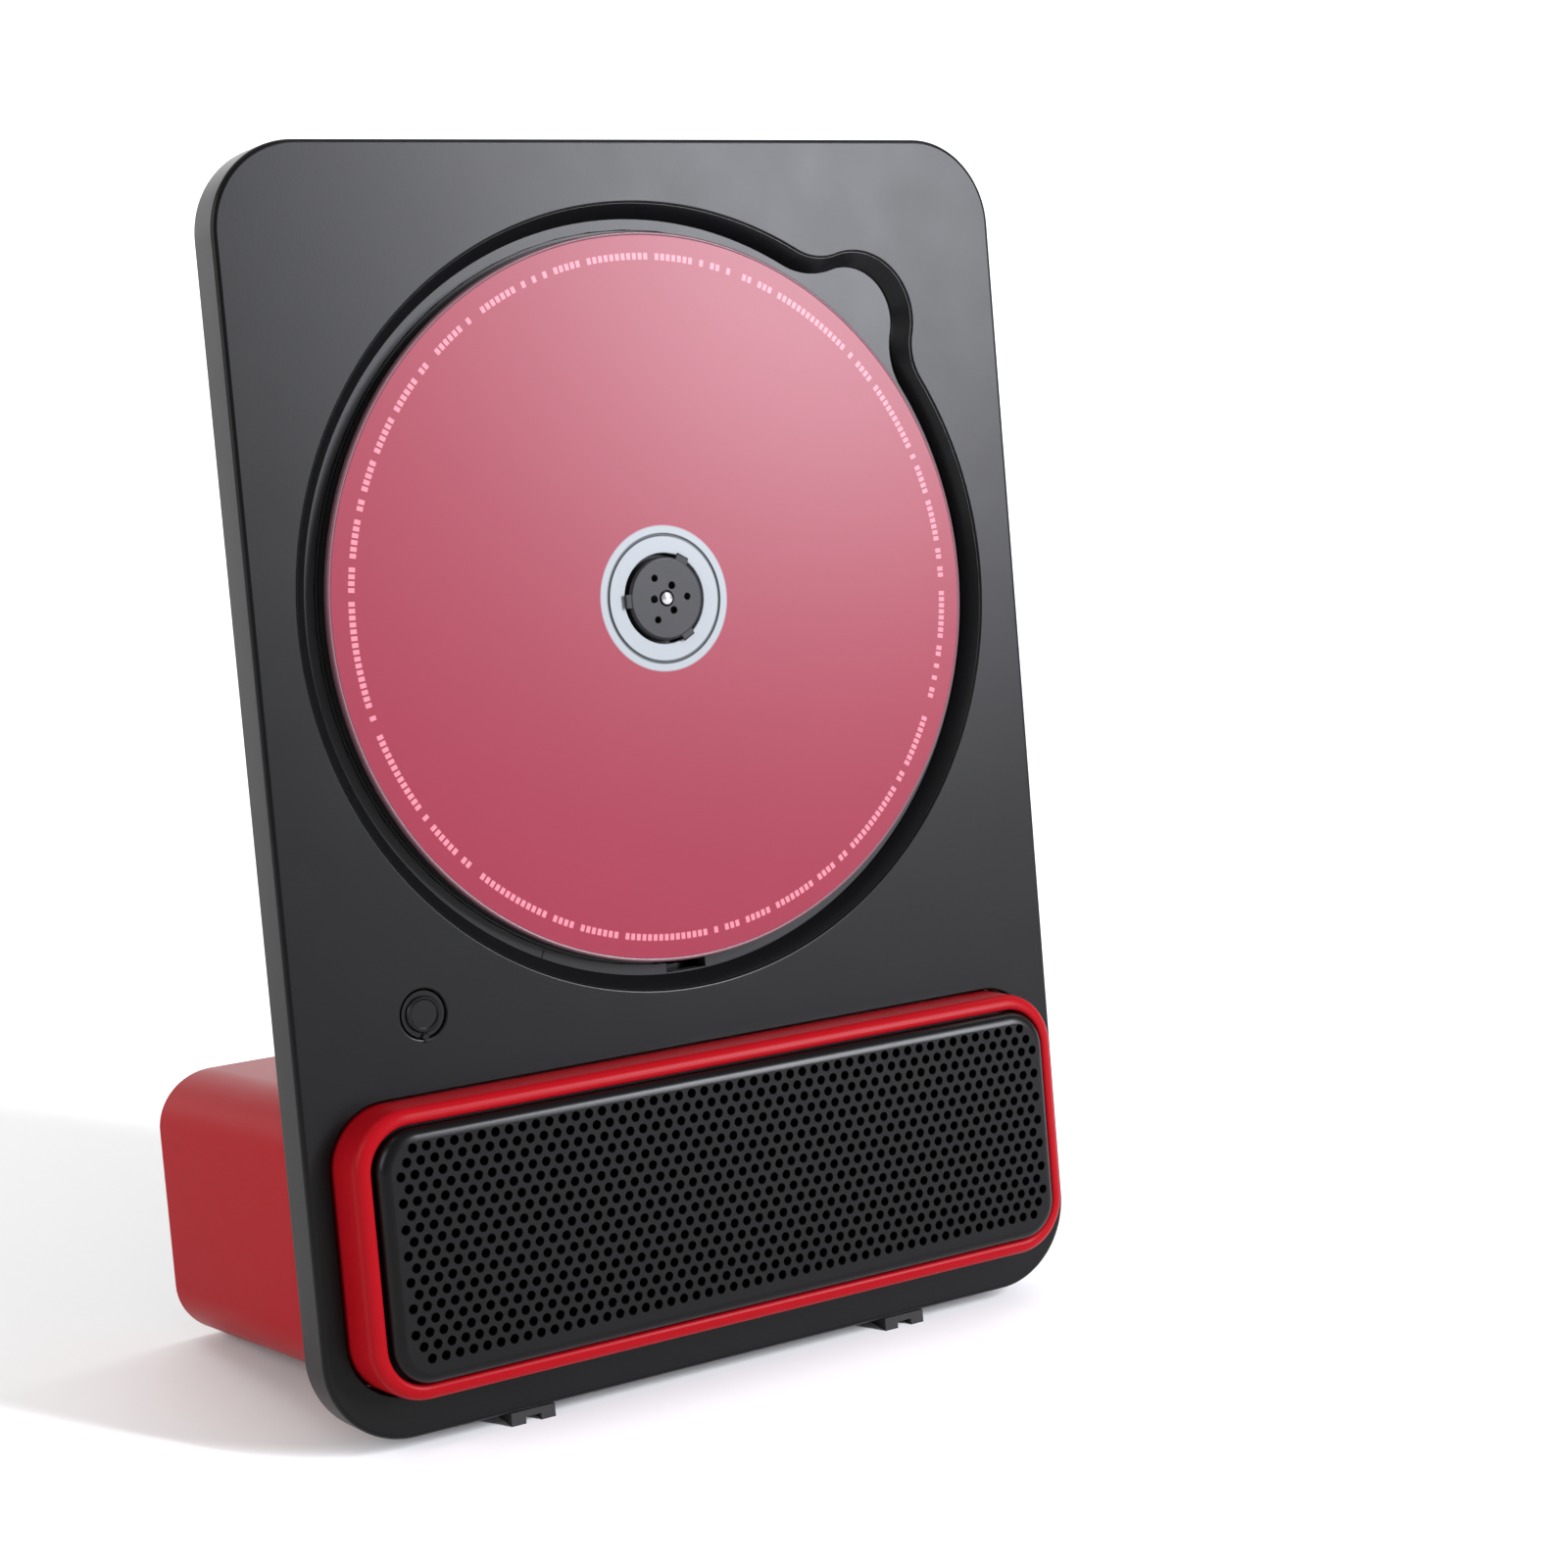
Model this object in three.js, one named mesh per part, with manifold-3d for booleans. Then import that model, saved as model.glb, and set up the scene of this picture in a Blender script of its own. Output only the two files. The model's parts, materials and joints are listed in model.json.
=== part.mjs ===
// An upright disc player. A thin slab leans back and carries an exposed disc in a round
// well. A red speaker case passes through the foot of the slab and props it up from behind.
//
// The pieces are modelled in the slab's own frame, in millimetres: +X to the right, +Y into
// the slab with y = 0 on its front face, +Z up along the slab with z = 0 at its middle.
// The last section leans the whole assembly back onto its four feet.
import * as THREE from 'three';
import { mergeVertices } from 'three/addons/utils/BufferGeometryUtils.js';
import Module from 'manifold-3d';

const wasm = await Module();
wasm.setup();

// ---------------------------------------------------------------- driving dimensions

const gap = 0.3; // clearance between pieces that touch on the real object
const closeFit = 0.15; // clearance round a shaft in its bore
const boreEnd = 0.1; // clearance past the end of a shaft or a stem

// Slab
const slabWidth = 145;
const slabDepth = 7.7;
const slabCorner = 14.6;
const slabWall = 2;
const slabChamfer = 0.6;
const rearPanelThickness = 1.8;
const driveWindowCorner = 8;
const driveWindowToCase = 5;

// Disc
const discRadius = 60;
const discThickness = 1.2;
const discBore = 7.5;
const discProud = 0.45; // how far the label stands in front of the slab's face

// Well around the disc, with a finger notch at its upper right
const wellMargin = 4.7; // from the disc's edge to the well's rim
const wellTopMargin = 10.3; // from the well's rim to the top of the slab
const wellCaseMargin = 9.9; // from the well's rim down to the speaker case
const wellDepth = 3;
const wellSlope = 2.3; // how far the sloped bezel leans in over that depth
const bezelLip = 0.25;
const trayFlange = 3; // how far the tray reaches out behind the well's rim
const trayThickness = 1.2;
const panMargin = 0.7; // from the disc's edge to the pan's wall
const notchAngle = THREE.MathUtils.degToRad(46);
const notchReach = 62.1; // from the disc's axis to the middle of the notch
const notchRadius = 11.3;
const notchFillet = 10.3;
const sensorSlotWidth = 7.6;
const sensorSlotHeight = 2.1;
const sledSlotMargin = 2; // on each side of the lens holder
const rimArcs = 8; // the well's rim is drawn as this many arcs

// Turntable and its motor
const platterRadius = 13.8;
const platterThickness = 1.5;
const platterClearance = 2; // round the platter, in the tray
const hubRadius = 6.9;
const hubStandout = 0.75; // how far the hub stands in front of the label
const hubEdge = 0.4;
const hubStemRadius = 4;
const hubStemClearance = 1; // round the stem, in the chassis
const hubHoleRadius = 0.6;
const hubHoleDepth = 1.2;
const outerHoleReach = 3.95; // from the disc's axis
const innerHoleReach = 2.35;
const clipCount = 3;
const clipWidth = 2.2;
const clipHook = 0.9; // how far a clip's nose reaches past the hub
const clipNose = 0.4;
const clipThickness = 1.1;
const clipFlexRoom = 0.5; // behind each clip, in its slot
const spindleRadius = 1.15;
const spindleTip = 0.45; // how far the spindle stands in front of the hub
const spindleMotorRadius = 11;
const spindleMotorLength = 5.5;
const spindleMotorEnd = 0.5; // thickness left behind the motor's bore

// Optical sled, its rails and its feed gears
const chassisWidth = 75;
const chassisShift = 5.5; // the chassis is wider on the right, where the feed gears are
const chassisTop = 17; // above the spindle
const chassisMargin = 4; // from the housing's lower edge up to the chassis
const chassisInset = 0.5; // the chassis's front lies this far inside the slab's back
const chassisThickness = 1;
const chassisCorner = 5;
const lensWindowMargin = 1.5; // round the lens holder's whole travel
const lensStart = 24; // distance of the lens from the disc's axis at rest
const lensEndMargin = 2.8; // the lens stops this far inside the disc's edge
const railRadius = 1.5;
const railSpread = 18; // each rail's distance from the middle
const railToMotor = 1;
const chassisToSled = 0.4;
const sledEdge = 1.6; // left outside each rail
const sledHalfLength = 9;
const sledDepth = 5.9;
const rackModule = 0.6;
const rackGearTeeth = 12;
const rackThickness = 2.2;
const rackStep = 1.4; // from the sled's front to the rack's
const rackToRail = 3.9; // from the rail's side to the rack's pitch line
const sledToWheel = 0.5;
const wheelModule = 0.5;
const wheelTeeth = 36;
const wheelThickness = 1.4;
const pinionTeeth = 10;
const pinionOverhang = 0.2; // past each face of the wheel
const axleRadius = 1;
const toothBacklash = 0.2;
const toothRoot = 1.25; // in modules, below the pitch circle
const toothTip = 0.9; // in modules, above it
const pressureAngle = THREE.MathUtils.degToRad(20);
const gearBelowSpindle = 32.6;
const lensHolderWidth = 8;
const lensHolderLength = 5.4;
const lensRadius = 2.2;
const lensProud = 0.6; // how far the lens stands in front of its holder
const lensSeat = 1; // depth of its seat
const turretFront = 2.4; // the lens holder reaches this close to the slab's face
const rackEnd = 1.8; // rack left past the gear at each end of the travel
const railPostThickness = 1.2;
const feedMotorRadius = 6.5;
const feedMotorLength = 5.7;
const feedShaftRadius = 0.6;
const feedShaftReach = 2.4; // from the pinion into the motor
const feedMotorAngle = THREE.MathUtils.degToRad(-45);
const boardThickness = 1.2;
const driveBoardWidth = 87;
const driveBoardHeight = 48;
const driveBoardDrop = 10; // below the spindle
const driveBoardStandoff = 1.3; // from the housing's wall

// Rubber dampers that carry the chassis on the tray's pegs
const damperInset = 5; // from the chassis's edges to each damper
const damperWaist = 2.6;
const damperLip = 3.8;
const damperBore = 1.3;
const damperPegRadius = 1.1;
const damperHeight = 1.6; // behind the chassis

// Rear housing over the drive
const housingWidth = 116;
const housingDepth = 14.5;
const housingCorner = 14;
const housingWall = 2;
const housingEdge = 1.2;
const housingMargin = 3; // beyond the disc's edge above, and down to the case below
const housingScrewInset = 7; // from the housing's edges to each screw
const screwRadius = 1.1;
const screwHead = 2.6;
const screwHeadHeight = 1.6;
const screwRecess = 2.2;
const bossRadius = 4;
const coverBossLength = 9;
const coverScrewLength = 8;

// Speaker case
const caseSideMargin = 4.8; // slab left beside the case on each side
const caseBottomMargin = 7.5; // slab left below the case
const caseHeight = 46.1;
const caseCorner = 9.5;
const caseWall = 2.6;
const caseStandout = 7.5; // how far the rim stands in front of the slab
const caseReach = 63.5; // how far the case reaches behind the slab's face
const caseFlare = 0.078; // how far each side opens outwards per millimetre of depth
const caseEdge = 1.1; // rounding of the rim
const grilleStandout = 1.8; // how far the grille stands in front of the rim
const grilleThickness = 2.4;
const grilleEdge = 1.1;
const baffleThickness = 3;
const grilleToBaffle = 2.4;
const driverRadius = 18.6;
const driverDepth = 13;
const driverFlange = 3;
const driverWall = 1;
const cupRadius = 11; // at the back of the driver's frame
const magnetRadius = 14;
const magnetLength = 9;
const coneInset = 5.2; // from the frame's edge to the cone's
const dustCapRadius = 5;
const driverSpread = 36;
const cellRadius = 9.1;
const cellLength = 65;
const holderThickness = 1.6;
const ribHeight = 2.9; // of the ribs that hold the cells
const cellToBoard = 4; // from the battery holder back to the main board
const coverToBoard = 6.5; // from the main board's front to the rear cover
const mainBoardSideMargin = 13.5; // from the case's side to the board's
const mainBoardTopMargin = 9.2;
const coverThickness = 2;
const coverRecess = 2; // from the back of the case to the cover

// Controls
const playButtonRadius = 2.95;
const playBoreRadius = 3.95;
const playButtonSide = 50; // left of the middle
const playButtonRise = 13; // above the speaker case
const playTravel = 0.6;
const playProud = 0.3;
const playDish = 0.35;
const playFlange = 0.7;
const playStemRadius = 1.2;
const playStemEnd = 4.2;
const playSwitchRadius = 2.2;
const volumeButtonRadius = 3;
const volumeProud = 0.8;
const volumeFlange = 0.9;
const volumeStem = 2.2;
const volumeStemRadius = 1.2;
const volumeStubRadius = 2; // on the main board, behind each stem
const volumeX = 32;
const rearButtonTravel = 0.6;
const switchTravel = 4;
const volumeSpacing = 11;
const slideKnobWidth = 5;
const slideKnobHeight = 3;
const slideKnobProud = 1.2;
const slideMargin = 2; // the slider reaches this far past the knob
const inletWidth = 9;
const inletHeight = 3.3;
const inletWall = 0.4;
const inletX = -26;
const jackRadius = 3;
const jackBore = 1.75;
const jackX = -40;
const socketRecess = 0.2; // from the cover's face to the inlet and the jack

// Feet
const footLength = 8;
const footGroove = 2.8; // between a foot's two treads
const footGrooveDepth = 1.1;
const footDepth = 5.4;
const footDrop = 2.1; // from the slab's lower edge to the table, at the middle of the foot
const footSpread = 36.7;
const padLength = 14;
const padDepth = 5;
const padDrop = 1.1;
const padSpread = 46;
const padInset = 5; // from the back of the case to the middle of its pads

// ---------------------------------------------------------------- worked-out places

const wellRadius = discRadius + wellMargin;
const slabHeight = caseBottomMargin + caseHeight + wellCaseMargin + 2 * wellRadius + wellTopMargin;
const wellZ = slabHeight / 2 - wellTopMargin - wellRadius;
const discFront = -discProud;
const discBack = discFront + discThickness;
const rearPanelFront = slabDepth - rearPanelThickness;
const panBack = rearPanelFront - gap; // the pan lies against the rear panel
const panFront = panBack - trayThickness;
const chassisFront = slabDepth - chassisInset;
const chassisBack = chassisFront + chassisThickness;
const caseWidth = slabWidth - 2 * caseSideMargin;
const caseZ = -slabHeight / 2 + caseBottomMargin + caseHeight / 2;
const caseTop = caseZ + caseHeight / 2;
const caseBottom = caseZ - caseHeight / 2;
const housingFront = slabDepth + gap;
const housingBack = housingFront + housingDepth;
const housingBottom = caseTop + housingMargin;
const housingTop = wellZ + discRadius + housingMargin;
const housingZ = (housingTop + housingBottom) / 2;
const housingHeight = housingTop - housingBottom;
const housingScrewX = housingWidth / 2 - housingScrewInset;

// The drive's places are measured from the spindle.
const chassisBottom = housingBottom + chassisMargin - wellZ;
const chassisHeight = chassisTop - chassisBottom;
const chassisZ = (chassisTop + chassisBottom) / 2;
const motorFront = chassisBack + gap;
const sledFront = chassisBack + chassisToSled;
const sledBack = sledFront + sledDepth;
const railY = (sledFront + sledBack) / 2;
const railTop = -spindleMotorRadius - railToMotor;
const railBottom = chassisBottom;
const lensEnd = discRadius - lensEndMargin;
const sledTravel = lensEnd - lensStart;
const rackFront = sledFront + rackStep;
const rackPitchX = railSpread + railRadius + rackToRail;
const wheelFront = sledBack + sledToWheel;
const gearPlace = new THREE.Vector2(rackPitchX + (rackModule * rackGearTeeth) / 2, -gearBelowSpindle);
const feedCentres = (wheelModule * (wheelTeeth + pinionTeeth)) / 2;
const feedMotorPlace = polar(feedCentres, feedMotorAngle).add(gearPlace);

const playZ = caseTop + playButtonRise;

const coverBack = caseReach - coverRecess;
const coverFront = coverBack - coverThickness;
const grilleFront = -caseStandout - grilleStandout;
const baffleFront = grilleFront + grilleThickness + grilleToBaffle;
const baffleBack = baffleFront + baffleThickness;
const cellSpread = cellRadius + gap; // from the case's middle to each cell's axis
const boardFront = coverFront - coverToBoard;
const cellY = boardFront - cellToBoard - holderThickness - cellSpread;
const inletFront = boardFront + boardThickness + gap;
const socketLength = coverBack - socketRecess - inletFront;
const slideKnobDepth = coverThickness + gap + slideKnobProud;

// ---------------------------------------------------------------- materials

function material(color, roughness, metalness = 0) {
  return new THREE.MeshStandardMaterial({ color, roughness, metalness });
}

const charcoal = material(0x3a3b3d, 0.5);
const blackGloss = material(0x101114, 0.25);
const blackPlastic = material(0x1c1d1f, 0.6);
const redGloss = material(0xb3262e, 0.25);
const discPink = material(0xc96f86, 0.3);
const hubGrey = material(0x5d5e61, 0.5);
const steel = material(0xb8babd, 0.3, 0.9);
const darkSteel = material(0x55585c, 0.45, 0.8);
const rubber = material(0x161617, 0.9);
const board = material(0x1f5a38, 0.6);
const glass = material(0x7a86b8, 0.1);
const gearWhite = material(0xe4e2da, 0.5);
const paperBlack = material(0x18181a, 0.8);
const cellBlue = material(0x2d5d9e, 0.4);

// ---------------------------------------------------------------- geometry helpers

// A closed geometry with shared vertices and no empty triangles.
function welded(geometry) {
  const bare = geometry.clone();
  bare.deleteAttribute('normal');
  bare.deleteAttribute('uv');
  const merged = mergeVertices(bare, 1e-4);
  const index = merged.getIndex().array;
  const kept = [];
  for (let i = 0; i < index.length; i += 3) {
    const [a, b, c] = [index[i], index[i + 1], index[i + 2]];
    if (a !== b && b !== c && c !== a) kept.push(a, b, c);
  }
  merged.setIndex(kept);
  return merged;
}

function toSolid(geometry) {
  const merged = welded(geometry);
  const vertProperties = new Float32Array(merged.getAttribute('position').array);
  const triVerts = new Uint32Array(merged.getIndex().array);
  return new wasm.Manifold(new wasm.Mesh({ numProp: 3, vertProperties, triVerts }));
}

function toGeometry(solid) {
  const mesh = solid.getMesh();
  const geometry = new THREE.BufferGeometry();
  geometry.setAttribute('position', new THREE.BufferAttribute(mesh.vertProperties, 3));
  geometry.setIndex(new THREE.BufferAttribute(mesh.triVerts, 1));
  geometry.computeVertexNormals();
  return geometry;
}

function cut(body, ...tools) {
  return toGeometry(tools.reduce((left, tool) => left.subtract(toSolid(tool)), toSolid(body)));
}

function join(body, ...others) {
  return toGeometry(others.reduce((sum, other) => sum.add(toSolid(other)), toSolid(body)));
}

function at(geometry, x, y, z) {
  return geometry.clone().translate(x, y, z);
}

// An outline drawn in x and z, made into a plate from y = 0 back to y = thickness.
function plate(shape, thickness, curveSegments = 6) {
  const geometry = new THREE.ExtrudeGeometry(shape, {
    depth: thickness,
    bevelEnabled: false,
    curveSegments,
  });
  return geometry.rotateX(Math.PI / 2).translate(0, thickness, 0);
}

// The same plate with its front and back edges rounded or chamfered.
function bevelledPlate(shape, thickness, bevel, bevelSegments = 1, curveSegments = 6) {
  const geometry = new THREE.ExtrudeGeometry(shape, {
    depth: thickness - 2 * bevel,
    bevelThickness: bevel,
    bevelSize: bevel,
    bevelOffset: -bevel,
    bevelSegments,
    curveSegments,
  });
  return geometry.rotateX(Math.PI / 2).translate(0, thickness - bevel, 0);
}

function block(width, depth, height) {
  return new THREE.BoxGeometry(width, depth, height);
}

// A rod along Y from y = 0 to y = length.
function rod(radius, length, segments = 24) {
  return new THREE.CylinderGeometry(radius, radius, length, segments).translate(0, length / 2, 0);
}

// A solid turned about the Y axis from [radius, y] corners that start and end on the axis.
function turned(corners, segments = 24) {
  const points = corners.map(([radius, y]) => new THREE.Vector2(radius, y));
  if (THREE.ShapeUtils.isClockWise(points)) points.reverse();
  return new THREE.LatheGeometry(points, segments);
}

// A ring turned about the Y axis from [radius, y] corners of its closed section.
function turnedRing(corners, segments = 24) {
  return turned([...corners, corners[0]], segments);
}

function roundedRectangle(width, height, radius) {
  const x = width / 2 - radius;
  const z = height / 2 - radius;
  const quarter = Math.PI / 2;
  const shape = new THREE.Shape();
  shape.absarc(x, z, radius, 0, quarter);
  shape.absarc(-x, z, radius, quarter, 2 * quarter);
  shape.absarc(-x, -z, radius, 2 * quarter, 3 * quarter);
  shape.absarc(x, -z, radius, 3 * quarter, 4 * quarter);
  return shape;
}

function rectangle(width, height) {
  const shape = new THREE.Shape();
  shape.moveTo(-width / 2, -height / 2);
  shape.lineTo(width / 2, -height / 2);
  shape.lineTo(width / 2, height / 2);
  shape.lineTo(-width / 2, height / 2);
  return shape;
}

// The well's outline about the disc's axis, moved outwards by an offset: a circle and the
// notch's smaller circle, blended by two fillets.
function wellOutline(offset) {
  const reach = wellRadius + notchFillet;
  const toNotch = notchRadius + notchFillet;
  const filletAngle = Math.acos((reach ** 2 + notchReach ** 2 - toNotch ** 2) / (2 * reach * notchReach));
  const fillet = polar(reach, filletAngle);
  const notchSweep = Math.atan2(fillet.y, fillet.x - notchReach);
  const notch = polar(notchReach, notchAngle);
  const upper = polar(reach, notchAngle + filletAngle);
  const lower = polar(reach, notchAngle - filletAngle);
  const filletRadius = notchFillet - offset;
  const facing = notchAngle + Math.PI;
  const shape = new THREE.Shape();
  shape.absarc(notch.x, notch.y, notchRadius + offset, notchAngle - notchSweep, notchAngle + notchSweep);
  shape.absarc(upper.x, upper.y, filletRadius, facing + notchSweep, facing + filletAngle, true);
  const rimStart = notchAngle + filletAngle;
  const rimSweep = (2 * Math.PI - 2 * filletAngle) / rimArcs;
  for (let i = 0; i < rimArcs; i += 1) {
    shape.absarc(0, 0, wellRadius + offset, rimStart + i * rimSweep, rimStart + (i + 1) * rimSweep);
  }
  shape.absarc(lower.x, lower.y, filletRadius, facing - filletAngle, facing - notchSweep, true);
  return shape;
}

// A gear's outline with straight-flanked teeth, the first tooth pointing along +X.
function gearOutline(teeth, module) {
  const pitchRadius = (teeth * module) / 2;
  const halfThickness = (Math.PI * module - 2 * toothBacklash) / 4 / pitchRadius;
  const flank = Math.tan(pressureAngle);
  const heights = [-toothRoot * module, toothTip * module];
  const points = [];
  for (let tooth = 0; tooth < teeth; tooth += 1) {
    const middle = (tooth * 2 * Math.PI) / teeth;
    const side = heights.map((height) => [height, halfThickness - (height * flank) / pitchRadius]);
    const rising = side.map(([height, half]) => polar(pitchRadius + height, middle - half));
    const falling = side.map(([height, half]) => polar(pitchRadius + height, middle + half)).reverse();
    points.push(...rising, ...falling);
  }
  return new THREE.Shape(points);
}

function polar(radius, angle) {
  return new THREE.Vector2(radius * Math.cos(angle), radius * Math.sin(angle));
}

// The speaker case's half width grows with depth.
function caseHalfWidth(y) {
  return caseWidth / 2 + caseFlare * y;
}

function flared(geometry) {
  const position = geometry.getAttribute('position');
  for (let i = 0; i < position.count; i += 1) {
    const growth = caseHalfWidth(position.getY(i)) / caseHalfWidth(0);
    position.setX(i, position.getX(i) * growth);
  }
  return geometry;
}

// The outline of the case's inside at a depth, less a clearance all round.
function caseInside(y, clearance) {
  const inset = caseWall + clearance;
  const width = 2 * (caseHalfWidth(y) - inset);
  return roundedRectangle(width, caseHeight - 2 * inset, caseCorner - inset);
}

function add(group, name, geometry, look, x = 0, y = 0, z = 0) {
  const mesh = new THREE.Mesh(welded(geometry), look);
  mesh.name = name;
  mesh.position.set(x, y, z);
  group.add(mesh);
  return mesh;
}

// A cross-head screw driven from behind, with the underside of its head at y = 0.
function screw(length) {
  const body = turned([
    [0, -length],
    [screwRadius, -length],
    [screwRadius, 0],
    [screwHead, 0],
    [screwHead, screwHeadHeight * 0.6],
    [screwHead * 0.8, screwHeadHeight],
    [0, screwHeadHeight],
  ], 16);
  const arm = at(block(screwHead, screwHeadHeight, 0.7), 0, screwHeadHeight, 0);
  return cut(body, arm, arm.clone().rotateY(Math.PI / 2));
}

// Four places, each to a side and above or below the middle.
function corners(x, z) {
  return [[-x, z], [x, z], [-x, -z], [x, -z]];
}

function housingScrewPlaces() {
  return corners(housingScrewX, housingHeight / 2 - housingScrewInset);
}

// ---------------------------------------------------------------- slab

function frontPanel() {
  const outline = roundedRectangle(slabWidth, slabHeight, slabCorner);
  const insideHeight = slabHeight - 2 * slabWall;
  const inside = roundedRectangle(slabWidth - 2 * slabWall, insideHeight, slabCorner - slabWall);
  return cut(
    bevelledPlate(outline, slabDepth, slabChamfer),
    at(plate(inside, slabDepth), 0, slabWall, 0),
    at(plate(wellOutline(0), slabDepth), 0, -slabWall, wellZ),
    at(plate(caseWindow(slabWall), slabDepth), 0, -slabWall, caseZ),
    at(rod(playBoreRadius, slabDepth), -playButtonSide, -slabWall, playZ),
  );
}

function caseWindow(y) {
  return roundedRectangle(2 * (caseHalfWidth(y) + gap), caseHeight + 2 * gap, caseCorner + gap);
}

function wellBezel() {
  const front = gap / 2;
  const blank = plate(wellOutline(-gap), wellDepth - gap - front);
  const throat = new THREE.ExtrudeGeometry(wellOutline(-wellSlope), {
    depth: wellDepth,
    bevelThickness: wellDepth,
    bevelSize: wellSlope - gap - bezelLip,
    bevelSegments: 1,
    curveSegments: 6,
  });
  return cut(at(blank, 0, front, 0), throat.rotateX(Math.PI / 2));
}

// The ledge round the disc, the pan under it and a tab below for the lower dampers.
function discTray() {
  const lipFront = slabWall + gap;
  const flange = plate(wellOutline(trayFlange), wellDepth + trayThickness - lipFront);
  const ledge = cut(at(flange, 0, lipFront, 0), at(plate(wellOutline(0), 1), 0, wellDepth - 1, 0));
  const panRadius = discRadius + panMargin;
  const pan = at(rod(panRadius + trayThickness, panBack - wellDepth, 60), 0, wellDepth, 0);
  const tab = at(plate(chassisOutline(), trayThickness), chassisShift, panFront, chassisZ);
  const peg = rod(damperPegRadius, chassisBack + damperHeight + closeFit - panFront, 12);
  const pegs = damperPlaces().map(([x, z]) => at(peg, x, panFront, z));
  const slotEnd = discRadius + sensorSlotHeight / 5; // the sled's slot runs into the sensor's
  const sensorZ = -(discRadius + sensorSlotHeight / 2);
  return cut(
    join(ledge, pan, tab, ...pegs),
    at(rod(panRadius, panFront - wellDepth + 1, 60), 0, wellDepth - 1, 0),
    rod(platterRadius + platterClearance, slabDepth, 32),
    at(block(lensHolderWidth + 2 * sledSlotMargin, slabDepth, slotEnd), 0, slabDepth / 2, -slotEnd / 2),
    at(block(sensorSlotWidth, slabDepth, sensorSlotHeight), 0, slabDepth / 2, sensorZ),
  );
}

// The panel lies inside the slab's rim and opens for the drive and the speaker case.
function rearPanel() {
  const inset = slabWall + gap;
  const outline = roundedRectangle(slabWidth - 2 * inset, slabHeight - 2 * inset, slabCorner - inset);
  const top = housingTop - 2 * housingScrewInset;
  const bottom = caseTop + driveWindowToCase;
  const windowWidth = 2 * (housingScrewX - housingScrewInset);
  const driveWindow = roundedRectangle(windowWidth, top - bottom, driveWindowCorner);
  const screwHole = rod(screwRadius + gap, slabDepth, 12);
  const toolFront = rearPanelFront - slabWall;
  return cut(
    at(plate(outline, rearPanelThickness), 0, rearPanelFront, 0),
    at(plate(caseWindow(slabDepth), slabDepth), 0, toolFront, caseZ),
    at(plate(driveWindow, slabDepth), 0, toolFront, (top + bottom) / 2),
    ...housingScrewPlaces().map(([x, z]) => at(screwHole, x, toolFront, housingZ + z)),
  );
}

// A dished cap with a flange that keeps it behind the slab's front wall.
function playButton() {
  const front = slabWall + gap;
  const back = front + playFlange;
  return turned([
    [0, playDish - playProud],
    [playButtonRadius * 0.7, 0],
    [playButtonRadius * 0.82, -playProud],
    [playButtonRadius, 0],
    [playButtonRadius, front],
    [playBoreRadius + playFlange, front],
    [playBoreRadius + playFlange, back],
    [playStemRadius, back],
    [playStemRadius, playStemEnd],
    [0, playStemEnd],
  ]);
}

function slabGroup() {
  const group = new THREE.Group();
  add(group, 'front_panel', frontPanel(), charcoal);
  add(group, 'well_bezel', wellBezel(), blackGloss, 0, 0, wellZ);
  add(group, 'disc_tray', discTray(), charcoal, 0, 0, wellZ);
  add(group, 'rear_panel', rearPanel(), charcoal);
  add(group, 'play_button', playButton(), charcoal, -playButtonSide, 0, playZ);
  const switchFront = playStemEnd + playTravel + boreEnd;
  const playSwitch = rod(playSwitchRadius, rearPanelFront - gap - switchFront, 16);
  add(group, 'play_switch', playSwitch, steel, -playButtonSide, switchFront, playZ);
  return group;
}

// ---------------------------------------------------------------- disc and turntable

function disc() {
  const edge = 0.3;
  return turnedRing([
    [discBore, 0],
    [discRadius - edge, 0],
    [discRadius, edge],
    [discRadius, discThickness - edge],
    [discRadius - edge, discThickness],
    [discBore, discThickness],
  ], 84);
}

// The platter and the hub in one piece, with slots for the clips and small moulding holes.
function turntable() {
  const hubFront = discFront - hubStandout;
  const platterFront = discBack + gap;
  const body = turned([
    [0, hubFront],
    [hubRadius - hubEdge, hubFront],
    [hubRadius, hubFront + hubEdge],
    [hubRadius, platterFront],
    [platterRadius, platterFront],
    [platterRadius, platterFront + platterThickness],
    [hubStemRadius, platterFront + platterThickness],
    [hubStemRadius, chassisFront - gap],
    [0, chassisFront - gap],
  ]);
  const bore = at(rod(spindleRadius + closeFit, 2 * slabDepth, 16), 0, hubFront, 0);
  const hole = at(rod(hubHoleRadius, 2 * hubHoleDepth, 10), 0, hubFront - hubHoleDepth, 0);
  const slotDepth = platterFront - hubFront;
  const slotStart = hubRadius - clipThickness - clipFlexRoom;
  const slot = block(hubRadius, slotDepth, clipWidth + 2 * gap);
  const clipSlot = at(slot, slotStart + hubRadius / 2, hubFront + slotDepth / 2, 0);
  const tools = clipAngles().flatMap((angle) => [
    at(hole, -outerHoleReach, 0, 0).rotateY(angle),
    at(hole, innerHoleReach, 0, 0).rotateY(angle),
    clipSlot.clone().rotateY(angle),
  ]);
  return cut(body, bore, ...tools);
}

// The first clip points to the left.
function clipAngles() {
  return Array.from({ length: clipCount }, (_, i) => Math.PI + (i * 2 * Math.PI) / clipCount);
}

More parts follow.
